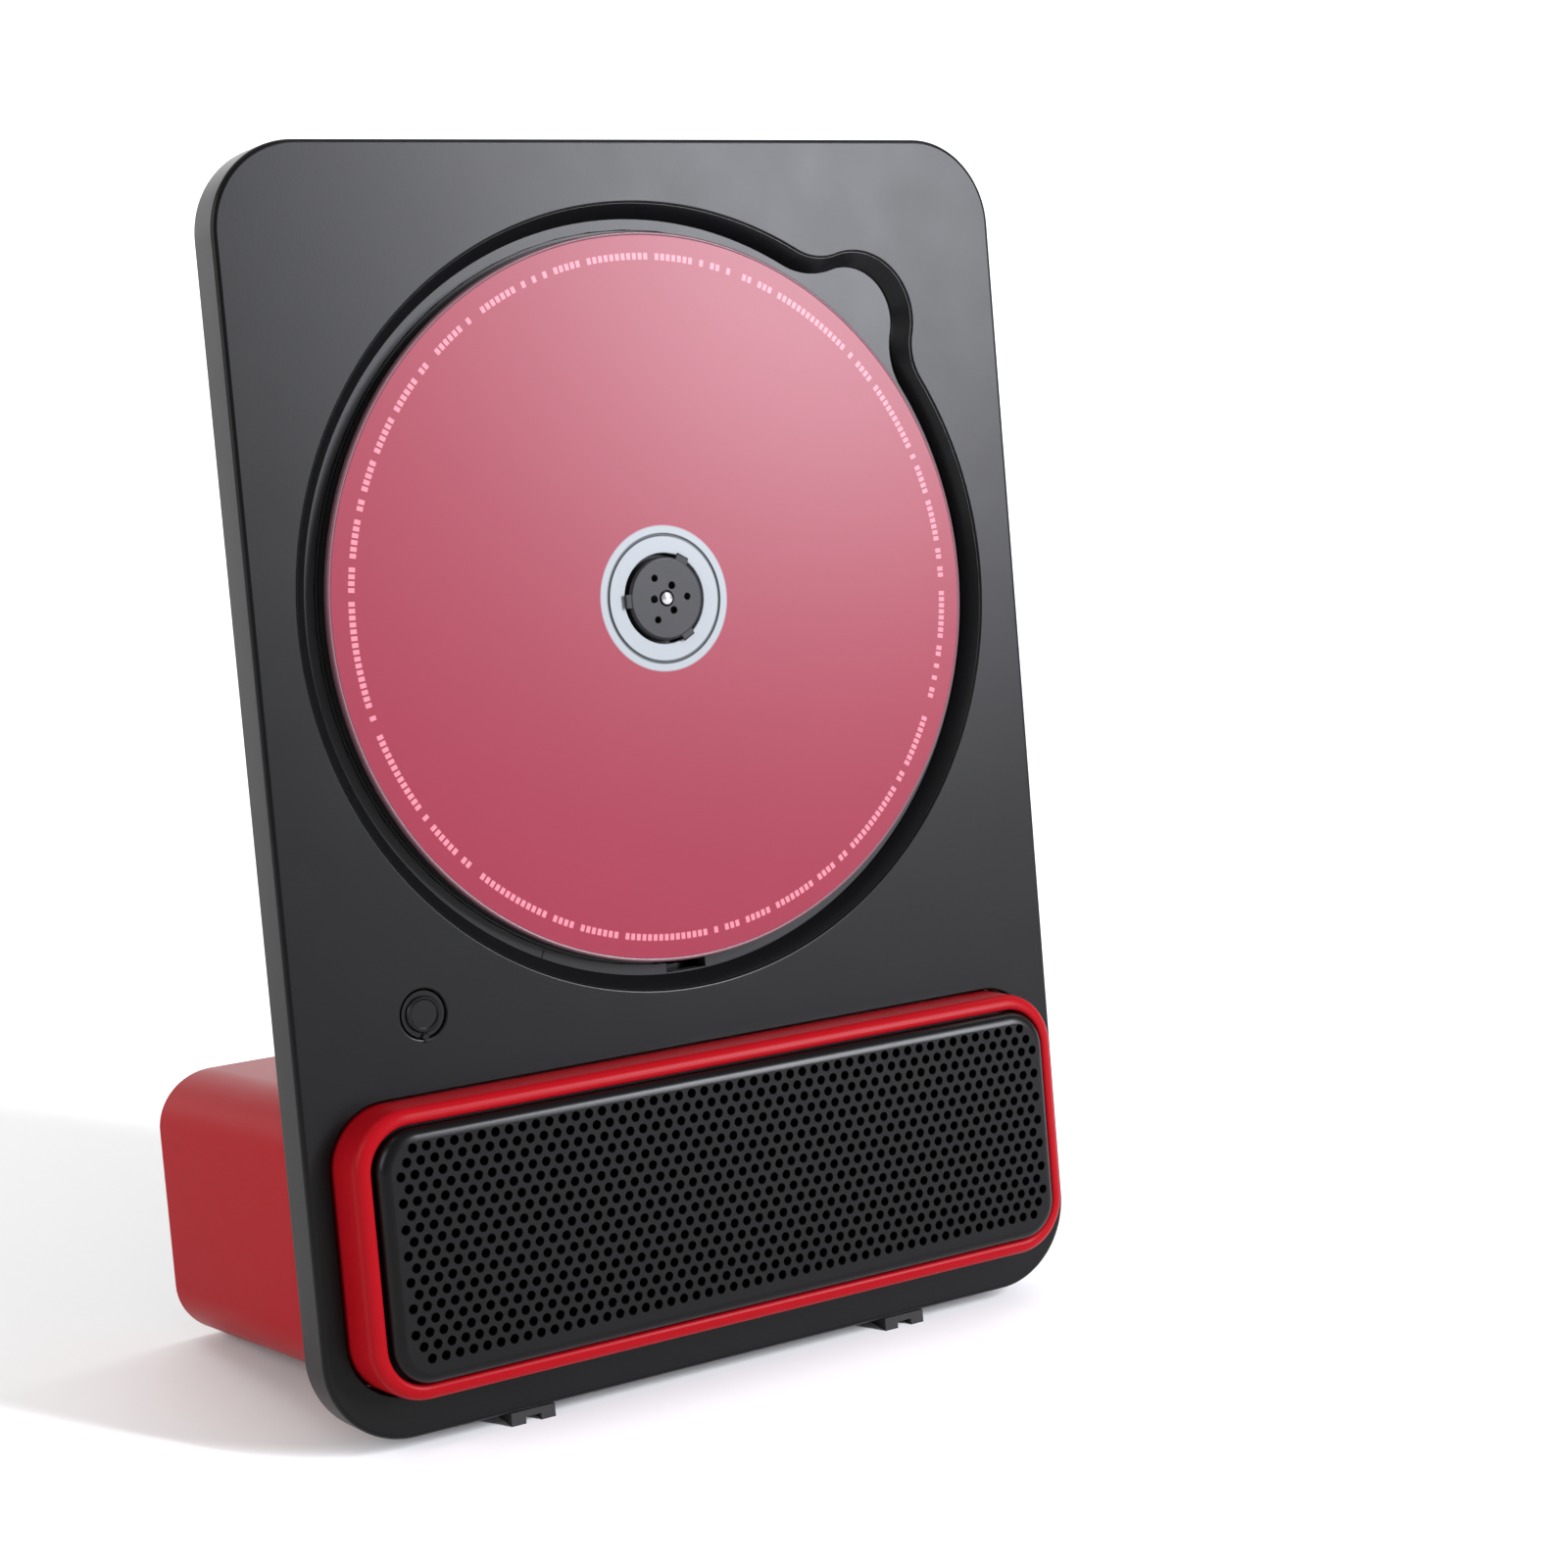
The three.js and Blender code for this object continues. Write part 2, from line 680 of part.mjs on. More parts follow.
// A springy tongue standing in the hub's slot, with a nose that hooks over the disc.
function discClip() {
  const front = discFront - hubStandout + 0.05;
  const section = new THREE.Shape([
    new THREE.Vector2(hubRadius - clipThickness, discBack),
    new THREE.Vector2(hubRadius - clipThickness, front),
    new THREE.Vector2(hubRadius + clipHook - 0.3, front),
    new THREE.Vector2(hubRadius + clipHook, front + clipNose / 2),
    new THREE.Vector2(hubRadius + clipHook - 0.2, front + clipNose),
    new THREE.Vector2(hubRadius, front + clipNose + 0.1),
    new THREE.Vector2(hubRadius, discBack),
  ]);
  const geometry = new THREE.ExtrudeGeometry(section, { depth: clipWidth, bevelEnabled: false });
  return geometry.translate(0, 0, -clipWidth / 2);
}

function spindleShaft() {
  const tip = discFront - hubStandout - spindleTip;
  const back = motorFront + spindleMotorLength - spindleMotorEnd - boreEnd;
  return turned([
    [0, tip],
    [spindleRadius * 0.6, tip + 0.12],
    [spindleRadius, tip + 0.5],
    [spindleRadius, back],
    [0, back],
  ], 20);
}

function spindleGroup() {
  const group = new THREE.Group();
  group.position.z = wellZ;
  add(group, 'turntable', turntable(), hubGrey);
  add(group, 'spindle_shaft', spindleShaft(), steel);
  clipAngles().forEach((angle, i) => {
    add(group, `disc_clip_${i + 1}`, discClip(), hubGrey).rotation.y = angle;
  });
  add(group, 'disc', disc(), discPink, 0, discFront, 0);
  return group;
}

// ---------------------------------------------------------------- drive

function chassisOutline() {
  return roundedRectangle(chassisWidth, chassisHeight, chassisCorner);
}

function damperPlaces() {
  const x = chassisWidth / 2 - damperInset;
  const z = chassisHeight / 2 - damperInset;
  return corners(x, z).map(([side, height]) => [chassisShift + side, chassisZ + height]);
}

// A plate with a post for each end of each rail.
function chassis() {
  const depth = 2 * slabDepth;
  const windowTop = -lensStart + lensHolderLength / 2 + lensWindowMargin;
  const windowBottom = -lensEnd - lensHolderLength / 2 - lensWindowMargin;
  const window = block(lensHolderWidth + 2 * lensWindowMargin, depth, windowTop - windowBottom);
  const postBack = railY + railRadius + railPostThickness;
  const postDepth = postBack - chassisFront;
  const post = block(2 * (railRadius + railPostThickness), postDepth, railPostThickness);
  const postZ = [railBottom, railTop - railPostThickness].map((z) => z + railPostThickness / 2);
  const posts = [-1, 1].flatMap((side) => (
    postZ.map((z) => at(post, side * railSpread, chassisFront + postDepth / 2, z))
  ));
  return cut(
    join(at(plate(chassisOutline(), chassisThickness), chassisShift, chassisFront, chassisZ), ...posts),
    rod(hubStemRadius + hubStemClearance, depth, 24),
    at(window, 0, slabDepth, (windowTop + windowBottom) / 2),
    ...[-1, 1].map((side) => railBore(side, railRadius + closeFit)),
    ...damperPlaces().map(([x, z]) => at(rod(damperWaist + gap, depth, 16), x, 0, z)),
  );
}

// A bore along a rail, well past both of its ends.
function railBore(side, radius) {
  const length = 4 * discRadius;
  return at(rod(radius, length, 16).rotateX(Math.PI / 2), side * railSpread, railY, -length / 2);
}

function spindleMotor() {
  const body = turned([
    [0, 0],
    [spindleMotorRadius, 0],
    [spindleMotorRadius, spindleMotorLength - 1],
    [spindleMotorRadius - 1, spindleMotorLength],
    [0, spindleMotorLength],
  ]);
  return cut(body, at(rod(spindleRadius + closeFit, spindleMotorLength, 16), 0, -spindleMotorEnd, 0));
}

// The sled carries the lens in a turret that reaches forward to the disc.
function sled() {
  const width = 2 * (railSpread + railRadius + sledEdge);
  const body = at(block(width, sledDepth, 2 * sledHalfLength), 0, railY, 0);
  const turretDepth = sledFront - turretFront + 1;
  const turret = block(lensHolderWidth, turretDepth, lensHolderLength);
  return cut(
    join(body, at(turret, 0, turretFront + turretDepth / 2, 0)),
    ...[-1, 1].map((side) => railBore(side, railRadius + gap)),
    at(rod(lensRadius + closeFit, 2 * lensSeat, 20), 0, turretFront - lensSeat, 0),
  );
}

function pickupLens() {
  const back = lensProud + gap;
  return turned([[0, 0], [lensRadius * 0.6, 0.12], [lensRadius, 0.5], [lensRadius, back], [0, back]], 20);
}

// A straight rack whose teeth point along +X, with a gap between two teeth at z = 0. It
// reaches at least as far above and below as asked, in whole teeth.
function rack(above, below) {
  const pitch = Math.PI * rackModule;
  const root = -toothRoot * rackModule;
  const tip = toothTip * rackModule;
  const back = -2;
  const lean = Math.tan(pressureAngle);
  const halfThickness = (pitch - 2 * toothBacklash) / 4;
  const firstGap = -Math.ceil(below / pitch);
  const lastGap = Math.ceil(above / pitch);
  const points = [new THREE.Vector2(back, firstGap * pitch)];
  for (let tooth = firstGap; tooth < lastGap; tooth += 1) {
    const middle = (tooth + 0.5) * pitch;
    const rootHalf = halfThickness - root * lean;
    const tipHalf = halfThickness - tip * lean;
    points.push(new THREE.Vector2(root, middle - rootHalf), new THREE.Vector2(tip, middle - tipHalf));
    points.push(new THREE.Vector2(tip, middle + tipHalf), new THREE.Vector2(root, middle + rootHalf));
  }
  points.push(new THREE.Vector2(back, lastGap * pitch));
  return plate(new THREE.Shape(points), rackThickness);
}

// The rack's gear and the motor's wheel in one piece. A tooth of the gear points at the
// rack, and a gap of the wheel points at the motor.
function transferGear() {
  const gear = plate(gearOutline(rackGearTeeth, rackModule), wheelFront - rackFront + 0.2);
  const wheel = plate(gearOutline(wheelTeeth, wheelModule), wheelThickness);
  const gapAngle = feedMotorAngle + Math.PI / wheelTeeth;
  return cut(
    join(gear.rotateY(Math.PI), at(wheel.rotateY(-gapAngle), 0, wheelFront - rackFront, 0)),
    at(rod(axleRadius + closeFit, 2 * slabDepth, 16), 0, -1, 0),
  );
}

// The pinion with the motor's shaft. Its first tooth points back at the wheel.
function feedPinion() {
  const teeth = plate(gearOutline(pinionTeeth, wheelModule), wheelThickness + 2 * pinionOverhang);
  const shaft = at(rod(feedShaftRadius, feedShaftReach + wheelThickness, 12), 0, -feedShaftReach, 0);
  return join(teeth.rotateY(-(Math.PI + feedMotorAngle)), shaft);
}

function feedMotor() {
  const boreDepth = motorFront + feedMotorLength - (wheelFront - pinionOverhang - feedShaftReach) + boreEnd;
  const bore = at(rod(feedShaftRadius + closeFit, 2 * boreDepth, 12), 0, feedMotorLength - boreDepth, 0);
  return cut(rod(feedMotorRadius, feedMotorLength, 28), bore);
}

// A rubber spool whose waist sits in the chassis.
function damper() {
  return turnedRing([
    [damperBore, panBack + gap],
    [damperBore, chassisBack + damperHeight],
    [damperLip, chassisBack + damperHeight],
    [damperLip, chassisBack + gap],
    [damperWaist, chassisBack + gap],
    [damperWaist, chassisFront - gap],
    [damperLip, chassisFront - gap],
    [damperLip, panBack + gap],
  ], 20);
}

function driveGroup() {
  const group = new THREE.Group();
  group.position.z = wellZ;
  add(group, 'drive_chassis', chassis(), darkSteel);
  add(group, 'spindle_motor', spindleMotor(), steel, 0, motorFront, 0);
  const rail = rod(railRadius, railTop - railBottom, 16).rotateX(Math.PI / 2);
  add(group, 'guide_rail_left', rail, steel, -railSpread, railY, railBottom);
  add(group, 'guide_rail_right', rail, steel, railSpread, railY, railBottom);
  add(group, 'sled_base', sled(), blackPlastic, 0, 0, -lensStart);
  add(group, 'pickup_lens', pickupLens(), glass, 0, turretFront - lensProud, -lensStart);
  const sledRack = rack(sledTravel + rackEnd, rackEnd);
  add(group, 'sled_rack', sledRack, gearWhite, rackPitchX, rackFront, gearPlace.y);
  add(group, 'transfer_gear', transferGear(), gearWhite, gearPlace.x, rackFront, gearPlace.y);
  const axle = rod(axleRadius, wheelFront + wheelThickness + 2 * gap - motorFront, 16);
  add(group, 'gear_axle', axle, steel, gearPlace.x, motorFront, gearPlace.y);
  add(group, 'feed_motor', feedMotor(), steel, feedMotorPlace.x, motorFront, feedMotorPlace.y);
  const pinionFront = wheelFront - pinionOverhang;
  add(group, 'feed_pinion', feedPinion(), gearWhite, feedMotorPlace.x, pinionFront, feedMotorPlace.y);
  const driveBoard = plate(rectangle(driveBoardWidth, driveBoardHeight), boardThickness);
  const driveBoardFront = housingBack - housingWall - driveBoardStandoff - boardThickness;
  add(group, 'drive_board', driveBoard, board, 0, driveBoardFront, -driveBoardDrop);
  damperPlaces().forEach(([x, z], i) => add(group, `damper_${i + 1}`, damper(), rubber, x, 0, z));
  return group;
}

function driveHousing() {
  const outline = roundedRectangle(housingWidth, housingHeight, housingCorner);
  const insideWidth = housingWidth - 2 * housingWall;
  const insideHeight = housingHeight - 2 * housingWall;
  const inside = roundedRectangle(insideWidth, insideHeight, housingCorner - housingWall);
  const body = bevelledPlate(outline, housingDepth, housingEdge, 2);
  const shell = cut(body, at(plate(inside, housingDepth), 0, -housingWall, 0));
  const boss = rod(bossRadius, housingDepth - housingWall / 2, 20);
  const hole = at(rod(screwRadius + gap, 2 * housingDepth, 12), 0, -1, 0);
  const recess = at(rod(screwHead + gap, housingDepth, 20), 0, housingDepth - screwRecess, 0);
  const places = housingScrewPlaces();
  return cut(
    join(shell, ...places.map(([x, z]) => at(boss, x, 0, z))),
    ...places.flatMap(([x, z]) => [at(hole, x, 0, z), at(recess, x, 0, z)]),
  );
}

function housingGroup() {
  const group = new THREE.Group();
  group.position.set(0, housingFront, housingZ);
  add(group, 'drive_housing', driveHousing(), charcoal);
  const seat = housingDepth - screwRecess + gap;
  const length = seat + housingFront - rearPanelFront;
  housingScrewPlaces().forEach(([x, z], i) => {
    add(group, `housing_screw_${i + 1}`, screw(length), darkSteel, x, seat, z);
  });
  return group;
}

// ---------------------------------------------------------------- speaker case

// A flared tube, open at both ends, with a boss in each rear corner for the cover's screws.
function speakerCase() {
  const length = caseReach + caseStandout;
  const outline = roundedRectangle(caseWidth, caseHeight, caseCorner);
  const insideWidth = caseWidth - 2 * caseWall;
  const inside = roundedRectangle(insideWidth, caseHeight - 2 * caseWall, caseCorner - caseWall);
  const shell = at(bevelledPlate(outline, length, caseEdge, 2), 0, -caseStandout, 0);
  const hollow = at(plate(inside, length + 2), 0, -caseStandout - 1, 0);
  const bossFront = coverFront - gap - coverBossLength;
  const boss = at(rod(bossRadius, coverBossLength, 20), 0, bossFront, 0);
  const hole = at(rod(screwRadius + gap, coverBossLength, 12), 0, bossFront + 1, 0);
  return cut(
    join(cut(flared(shell), flared(hollow)), ...coverScrewPlaces().map(([x, z]) => at(boss, x, 0, z))),
    ...coverScrewPlaces().map(([x, z]) => at(hole, x, 0, z)),
  );
}

function coverScrewPlaces() {
  const inset = caseWall + bossRadius + 0.5;
  const x = caseHalfWidth(coverFront) - inset;
  const z = caseHeight / 2 - inset;
  return corners(x, z);
}

function speakerGrille() {
  return bevelledPlate(caseInside(-caseStandout, gap), grilleThickness, grilleEdge, 2);
}

function speakerBaffle() {
  const opening = rod(driverRadius - driverFlange, 2 * baffleThickness, 28);
  return cut(
    plate(caseInside(baffleFront, gap), baffleThickness),
    ...[-1, 1].map((side) => at(opening, side * driverSpread, -baffleThickness / 2, 0)),
  );
}

// The driver's frame and magnet: a flange, a cup narrowing backwards and the magnet on it.
function driverBasket() {
  const flangeInside = driverRadius - driverFlange;
  const magnetFront = driverDepth - magnetLength / 2;
  const magnetBack = driverDepth + magnetLength / 2;
  return turned([
    [0, magnetFront + driverWall],
    [cupRadius - 2 * driverWall, magnetFront],
    [flangeInside - driverWall, 0],
    [driverRadius, 0],
    [driverRadius, driverWall],
    [flangeInside, driverWall],
    [cupRadius, magnetFront],
    [magnetRadius, magnetFront],
    [magnetRadius, magnetBack],
    [0, magnetBack],
  ], 28);
}

// A cone with a roll surround at its edge and a dust cap in its middle.
function driverCone() {
  const edge = driverRadius - coneInset - 0.4;
  const crest = edge - 1.2;
  const rollInside = edge - 2.6;
  const neck = 4.6;
  return turned([
    [0, neck - 1.4],
    [dustCapRadius * 0.6, neck - driverWall],
    [dustCapRadius, neck],
    [rollInside, 1],
    [crest, 0.1],
    [edge, 0.8],
    [edge, 1.4],
    [crest, 0.9],
    [rollInside, 1.8],
    [dustCapRadius, neck + driverWall],
    [0, neck + driverWall],
  ], 28);
}

// A cradle for both cells: a plate with a rib above, between and below them.
function batteryHolder() {
  const height = 4 * cellRadius + 4 * gap;
  const back = cellRadius + gap;
  const base = at(block(cellLength, holderThickness, height), 0, back + holderThickness / 2, 0);
  const cell = rod(cellRadius + gap, 2 * cellLength, 24).rotateZ(-Math.PI / 2).translate(-cellLength, 0, 0);
  const ribs = at(block(cellLength, 2 * ribHeight, height), 0, back, 0);
  return cut(join(base, ribs), ...[-1, 1].map((side) => at(cell, 0, 0, side * cellSpread)));
}

// A cell lying along X, with a small terminal at its right end.
function batteryCell() {
  const edge = 0.6;
  const terminalRadius = 3;
  const shoulder = cellLength - 1;
  const body = turned([
    [0, 0],
    [cellRadius - edge, 0],
    [cellRadius, edge],
    [cellRadius, shoulder - edge],
    [cellRadius - edge, shoulder],
    [terminalRadius, shoulder],
    [terminalRadius, cellLength],
    [0, cellLength],
  ]);
  return body.rotateZ(-Math.PI / 2).translate(-cellLength / 2, 0, 0);
}

// The board behind the rear cover, with the stubs that the volume buttons press.
function mainBoard() {
  const width = caseWidth - 2 * mainBoardSideMargin;
  const stubBack = coverFront - volumeStem - rearButtonTravel - boreEnd;
  const stub = rod(volumeStubRadius, stubBack - boardFront, 16);
  return join(
    plate(rectangle(width, caseHeight - 2 * mainBoardTopMargin), boardThickness),
    ...volumePlaces().map((x) => at(stub, x, 0, 0)),
  );
}

// The volume-down button's place and the volume-up button's, to the right of the middle.
function volumePlaces() {
  return [volumeX - volumeSpacing / 2, volumeX + volumeSpacing / 2];
}

// Every opening is cut right through the cover, with a clearance round its piece.
function rearCover() {
  const depth = 4 * coverThickness;
  const hole = (radius, x, z = 0) => at(rod(radius + gap, depth, 20), x, -depth / 2, z);
  const slot = (width, height, x) => at(block(width + 2 * gap, depth, height + 2 * gap), x, 0, 0);
  return cut(
    plate(caseInside(coverFront, gap), coverThickness),
    hole(jackRadius, jackX),
    slot(inletWidth, inletHeight, inletX),
    slot(slideKnobWidth + switchTravel, slideKnobHeight, switchTravel / 2),
    ...volumePlaces().map((x) => hole(volumeButtonRadius, x)),
    ...coverScrewPlaces().map(([x, z]) => hole(screwRadius, x, z)),
  );
}

// A round cap that stands out of the cover, with a flange and a short stem behind it.
function volumeButton() {
  const edge = volumeProud / 2;
  const face = coverThickness + volumeProud;
  const flangeRadius = volumeButtonRadius + volumeFlange;
  return turned([
    [0, face],
    [volumeButtonRadius - edge, face],
    [volumeButtonRadius, face - edge],
    [volumeButtonRadius, -gap],
    [flangeRadius, -gap],
    [flangeRadius, -gap - volumeFlange],
    [volumeStemRadius, -gap - volumeFlange],
    [volumeStemRadius, -volumeStem],
    [0, -volumeStem],
  ]);
}

// A ribbed knob on a slider that stays behind the cover.
function powerSwitch() {
  const knob = at(block(slideKnobWidth, slideKnobDepth, slideKnobHeight), 0, slideKnobDepth / 2 - gap, 0);
  const sliderThickness = 1.2;
  const slider = block(slideKnobWidth + 2 * slideMargin, sliderThickness, slideKnobHeight + slideMargin);
  const rib = slideKnobWidth / 4;
  const groove = block(0.5, 0.8, 2 * slideKnobHeight);
  return cut(
    join(knob, at(slider, 0, -gap - sliderThickness / 2, 0)),
    ...[-rib, 0, rib].map((x) => at(groove, x, slideKnobDepth - gap, 0)),
  );
}

function powerInlet() {
  const corner = 1.5;
  const shell = plate(roundedRectangle(inletWidth, inletHeight, corner), socketLength);
  const mouthWidth = inletWidth - 2 * inletWall;
  const mouth = roundedRectangle(mouthWidth, inletHeight - 2 * inletWall, corner - inletWall);
  const tongue = block(mouthWidth - 2 * (corner - inletWall), socketLength - 1, 0.7);
  return join(
    cut(shell, at(plate(mouth, socketLength), 0, 1, 0)),
    at(tongue, 0, socketLength / 2, 0),
  );
}

function audioJack() {
  return cut(rod(jackRadius, socketLength), at(rod(jackBore, socketLength, 20), 0, 1, 0));
}

function caseGroup() {
  const group = new THREE.Group();
  group.position.z = caseZ;
  add(group, 'speaker_case', speakerCase(), redGloss);
  add(group, 'speaker_grille', speakerGrille(), blackPlastic, 0, grilleFront, 0);
  add(group, 'speaker_baffle', speakerBaffle(), blackPlastic, 0, baffleFront, 0);
  [['left', -1], ['right', 1]].forEach(([side, sign]) => {
    const x = sign * driverSpread;
    add(group, `driver_basket_${side}`, driverBasket(), darkSteel, x, baffleBack + gap, 0);
    add(group, `driver_cone_${side}`, driverCone(), paperBlack, x, baffleBack + gap, 0);
  });
  add(group, 'battery_cell_1', batteryCell(), cellBlue, 0, cellY, cellSpread);
  add(group, 'battery_cell_2', batteryCell(), cellBlue, 0, cellY, -cellSpread);
  add(group, 'battery_holder', batteryHolder(), blackPlastic, 0, cellY, 0);
  add(group, 'main_board', mainBoard(), board, 0, boardFront, 0);
  add(group, 'power_inlet', powerInlet(), steel, inletX, inletFront, 0);
  add(group, 'audio_jack', audioJack(), blackPlastic, jackX, inletFront, 0);
  add(group, 'rear_cover', rearCover(), blackPlastic, 0, coverFront, 0);
  add(group, 'power_switch', powerSwitch(), charcoal, 0, coverFront, 0);
  const [downX, upX] = volumePlaces();
  add(group, 'volume_up_button', volumeButton(), charcoal, upX, coverFront, 0);
  add(group, 'volume_down_button', volumeButton(), charcoal, downX, coverFront, 0);
  coverScrewPlaces().forEach(([x, z], i) => {
    add(group, `cover_screw_${i + 1}`, screw(coverScrewLength), darkSteel, x, coverBack + gap, z);
  });
  return group;
}

// ---------------------------------------------------------------- feet and stance

// Where the feet meet the table, in the slab's own y and z.
const footContact = new THREE.Vector2(slabDepth / 2, -slabHeight / 2 - footDrop);
const padContact = new THREE.Vector2(caseReach - padInset, caseBottom - padDrop);
const lean = Math.atan2(padContact.y - footContact.y, padContact.x - footContact.x);

// A block with a level underside through its contact point and a top that follows the body
// above it.
function levelBlock(length, depth, contact, topZ) {
  const rise = (depth / 2) * Math.tan(lean);
  const side = new THREE.Shape([
    new THREE.Vector2(contact.x - depth / 2, contact.y - rise),
    new THREE.Vector2(contact.x + depth / 2, contact.y + rise),
    new THREE.Vector2(contact.x + depth / 2, topZ),
    new THREE.Vector2(contact.x - depth / 2, topZ),
  ]);
  const body = new THREE.ExtrudeGeometry(side, { depth: length, bevelEnabled: false });
  return body.rotateX(Math.PI / 2).rotateZ(Math.PI / 2).translate(-length / 2, 0, 0);
}

// A front foot has a groove across its underside, which leaves two treads.
function frontFoot() {
  const groove = block(footGroove, 2 * footDepth, 2 * footGrooveDepth).rotateX(lean);
  return cut(
    levelBlock(footLength, footDepth, footContact, -slabHeight / 2 - gap),
    at(groove, 0, footContact.x, footContact.y),
  );
}

function feetGroup() {
  const group = new THREE.Group();
  [['left', -1], ['right', 1]].forEach(([side, sign]) => {
    const pad = levelBlock(padLength, padDepth, padContact, caseBottom - gap);
    add(group, `front_foot_${side}`, frontFoot(), rubber, sign * footSpread, 0, 0);
    add(group, `rear_pad_${side}`, pad, rubber, sign * padSpread, 0, 0);
  });
  return group;
}

const leaning = new THREE.Group();
leaning.add(slabGroup(), spindleGroup(), driveGroup(), housingGroup(), caseGroup(), feetGroup());
leaning.rotation.x = -lean;

const player = new THREE.Group();
player.name = 'disc_player';
player.add(leaning);
player.updateMatrixWorld(true);
const extent = new THREE.Box3().setFromObject(player, true);
player.position.set(0, -(extent.min.y + extent.max.y) / 2, -extent.min.z);

export default player;
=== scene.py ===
# An upright disc player: a dark slab leaning back on a red speaker case, with a pink disc in
# a round well. Pieces are drawn in the slab's own frame in millimetres, x to the right, y into
# the slab from its front face and z up along it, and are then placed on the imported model.
import json
import math

import bmesh
import bpy
from mathutils import Matrix, Vector


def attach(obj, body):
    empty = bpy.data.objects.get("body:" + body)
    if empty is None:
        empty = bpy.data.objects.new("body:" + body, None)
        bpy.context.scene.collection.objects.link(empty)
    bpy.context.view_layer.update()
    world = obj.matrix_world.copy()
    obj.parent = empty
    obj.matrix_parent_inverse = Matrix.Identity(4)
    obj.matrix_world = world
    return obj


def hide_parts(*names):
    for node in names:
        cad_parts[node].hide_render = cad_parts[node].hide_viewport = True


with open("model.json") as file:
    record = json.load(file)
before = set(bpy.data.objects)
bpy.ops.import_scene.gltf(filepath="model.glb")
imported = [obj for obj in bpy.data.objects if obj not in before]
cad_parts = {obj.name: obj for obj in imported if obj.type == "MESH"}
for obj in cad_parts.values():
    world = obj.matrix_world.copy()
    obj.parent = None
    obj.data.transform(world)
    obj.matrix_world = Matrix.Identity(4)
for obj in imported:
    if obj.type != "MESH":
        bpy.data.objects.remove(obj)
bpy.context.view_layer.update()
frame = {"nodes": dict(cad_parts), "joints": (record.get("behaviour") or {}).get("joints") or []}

MM = 0.001
GAP = 0.3  # clearance between two pieces

# ---------------------------------------------------------------- sizes, in millimetres

SLAB_WIDTH, SLAB_HEIGHT, SLAB_DEPTH = 145.0, 203.2, 7.7
SLAB_CORNER = 14.6
SLAB_WALL = 2.0
SLAB_FRONT_EDGE, SLAB_BACK_EDGE = 0.8, 0.5
WINDOW_EDGE = 0.35  # round the well, the case and the play button

DISC_RADIUS, DISC_BORE = 60.0, 7.5
DISC_FRONT, DISC_BACK = -0.45, 0.75
DISC_EDGE = 0.1  # on the bore and on the back
LABEL_RADIUS = 59.4  # where the print stops short of the rim
PRINT_RADIUS = 12.0  # where the print starts
RING_RADIUS = 10.5  # of the fine groove in the pale ring
GROOVE = 0.2  # the groove's depth, and half its width
DASH_INNER, DASH_OUTER = 55.4, 56.45
DASH_STEPS = 330  # places for a dash, round the disc

WELL_RADIUS = 64.7
WELL_DEPTH = 3.0
WELL_Z = 26.6
NOTCH_ANGLE = math.radians(46)
NOTCH_REACH, NOTCH_RADIUS, NOTCH_FILLET = 62.1, 11.3, 10.3
BEZEL_SLOPE = 2.3
BEZEL_FRONT, BEZEL_CLEARANCE = 0.25, 0.03
SEAM_ANGLE, SEAM_WIDTH = math.radians(-115.5), 0.3
LIP_REACH = 0.5  # of the tray's lip beyond the disc
LIP_INNER, LIP_GROOVE, LIP_GROOVE_DEPTH, LIP_DEPTH = 58.4, 0.12, 0.4, 0.6
SLED_OPENING = 6.0  # to each side of the optical sled, at the foot of the well

CASE_WIDTH, CASE_HEIGHT, CASE_CORNER = 135.4, 46.1, 9.5
CASE_WALL = 2.6
CASE_FLARE = 0.078  # growth to each side, for each millimetre of depth
CASE_FRONT, CASE_BACK = -7.5, 63.5
CASE_OUTER_EDGE, CASE_INNER_EDGE, CASE_BACK_EDGE = 1.7, 0.7, 1.5
CASE_Z = -71.05
GRILLE_FRONT, GRILLE_THICKNESS, GRILLE_EDGE = -9.3, 2.4, 1.9
GRILLE_NARROWING = 0.9965  # keeps it clear of the case, which flares
HOLE_RADIUS, HOLE_PITCH, HOLE_ROWS, HOLE_COLUMNS = 0.72, 2.39, 17, 52
HOLE_SHIFT, HOLE_RISE = 0.3, 0.7  # of the pattern, from the middle of the case

PLAY_X, PLAY_Z = -50.0, -35.0
PLAY_RADIUS, PLAY_BORE = 2.95, 3.95
PLAY_FRONT, PLAY_DISH, PLAY_SHOULDER = -0.3, -0.1, 0.25

HUB_RADIUS, HUB_STANDOUT, HUB_THICKNESS, HUB_EDGE = 6.9, 0.75, 0.5, 0.45
SPINDLE_HOLE = 1.3
MOULD_EDGE = 0.1  # round the holes in the hub's face
OUTER_HOLE_REACH, OUTER_HOLE_RADIUS = 3.95, 0.55
INNER_HOLE_REACH, INNER_HOLE_RADIUS = 2.35, 0.6
STEM_START = 0.9  # behind the hub's face
STEM_RADIUS, PLATTER_RADIUS, PLATTER_THICKNESS = 4.0, 13.8, 1.5
SOCKET_END, PIN_END = 6.9, 13.4  # depths of the platter's socket and of the shaft

SOFT_EDGE, FOOT_EDGE = 0.15, 0.6  # on the pieces kept from the model

# ---------------------------------------------------------------- the slab's frame

joints = {joint["name"]: joint for joint in frame["joints"]}
spindle = Vector(joints["spindle_spin"]["pos_m"])
into = -Vector(joints["spindle_spin"]["axis"])
right = Vector((1, 0, 0))
rise = right.cross(into)


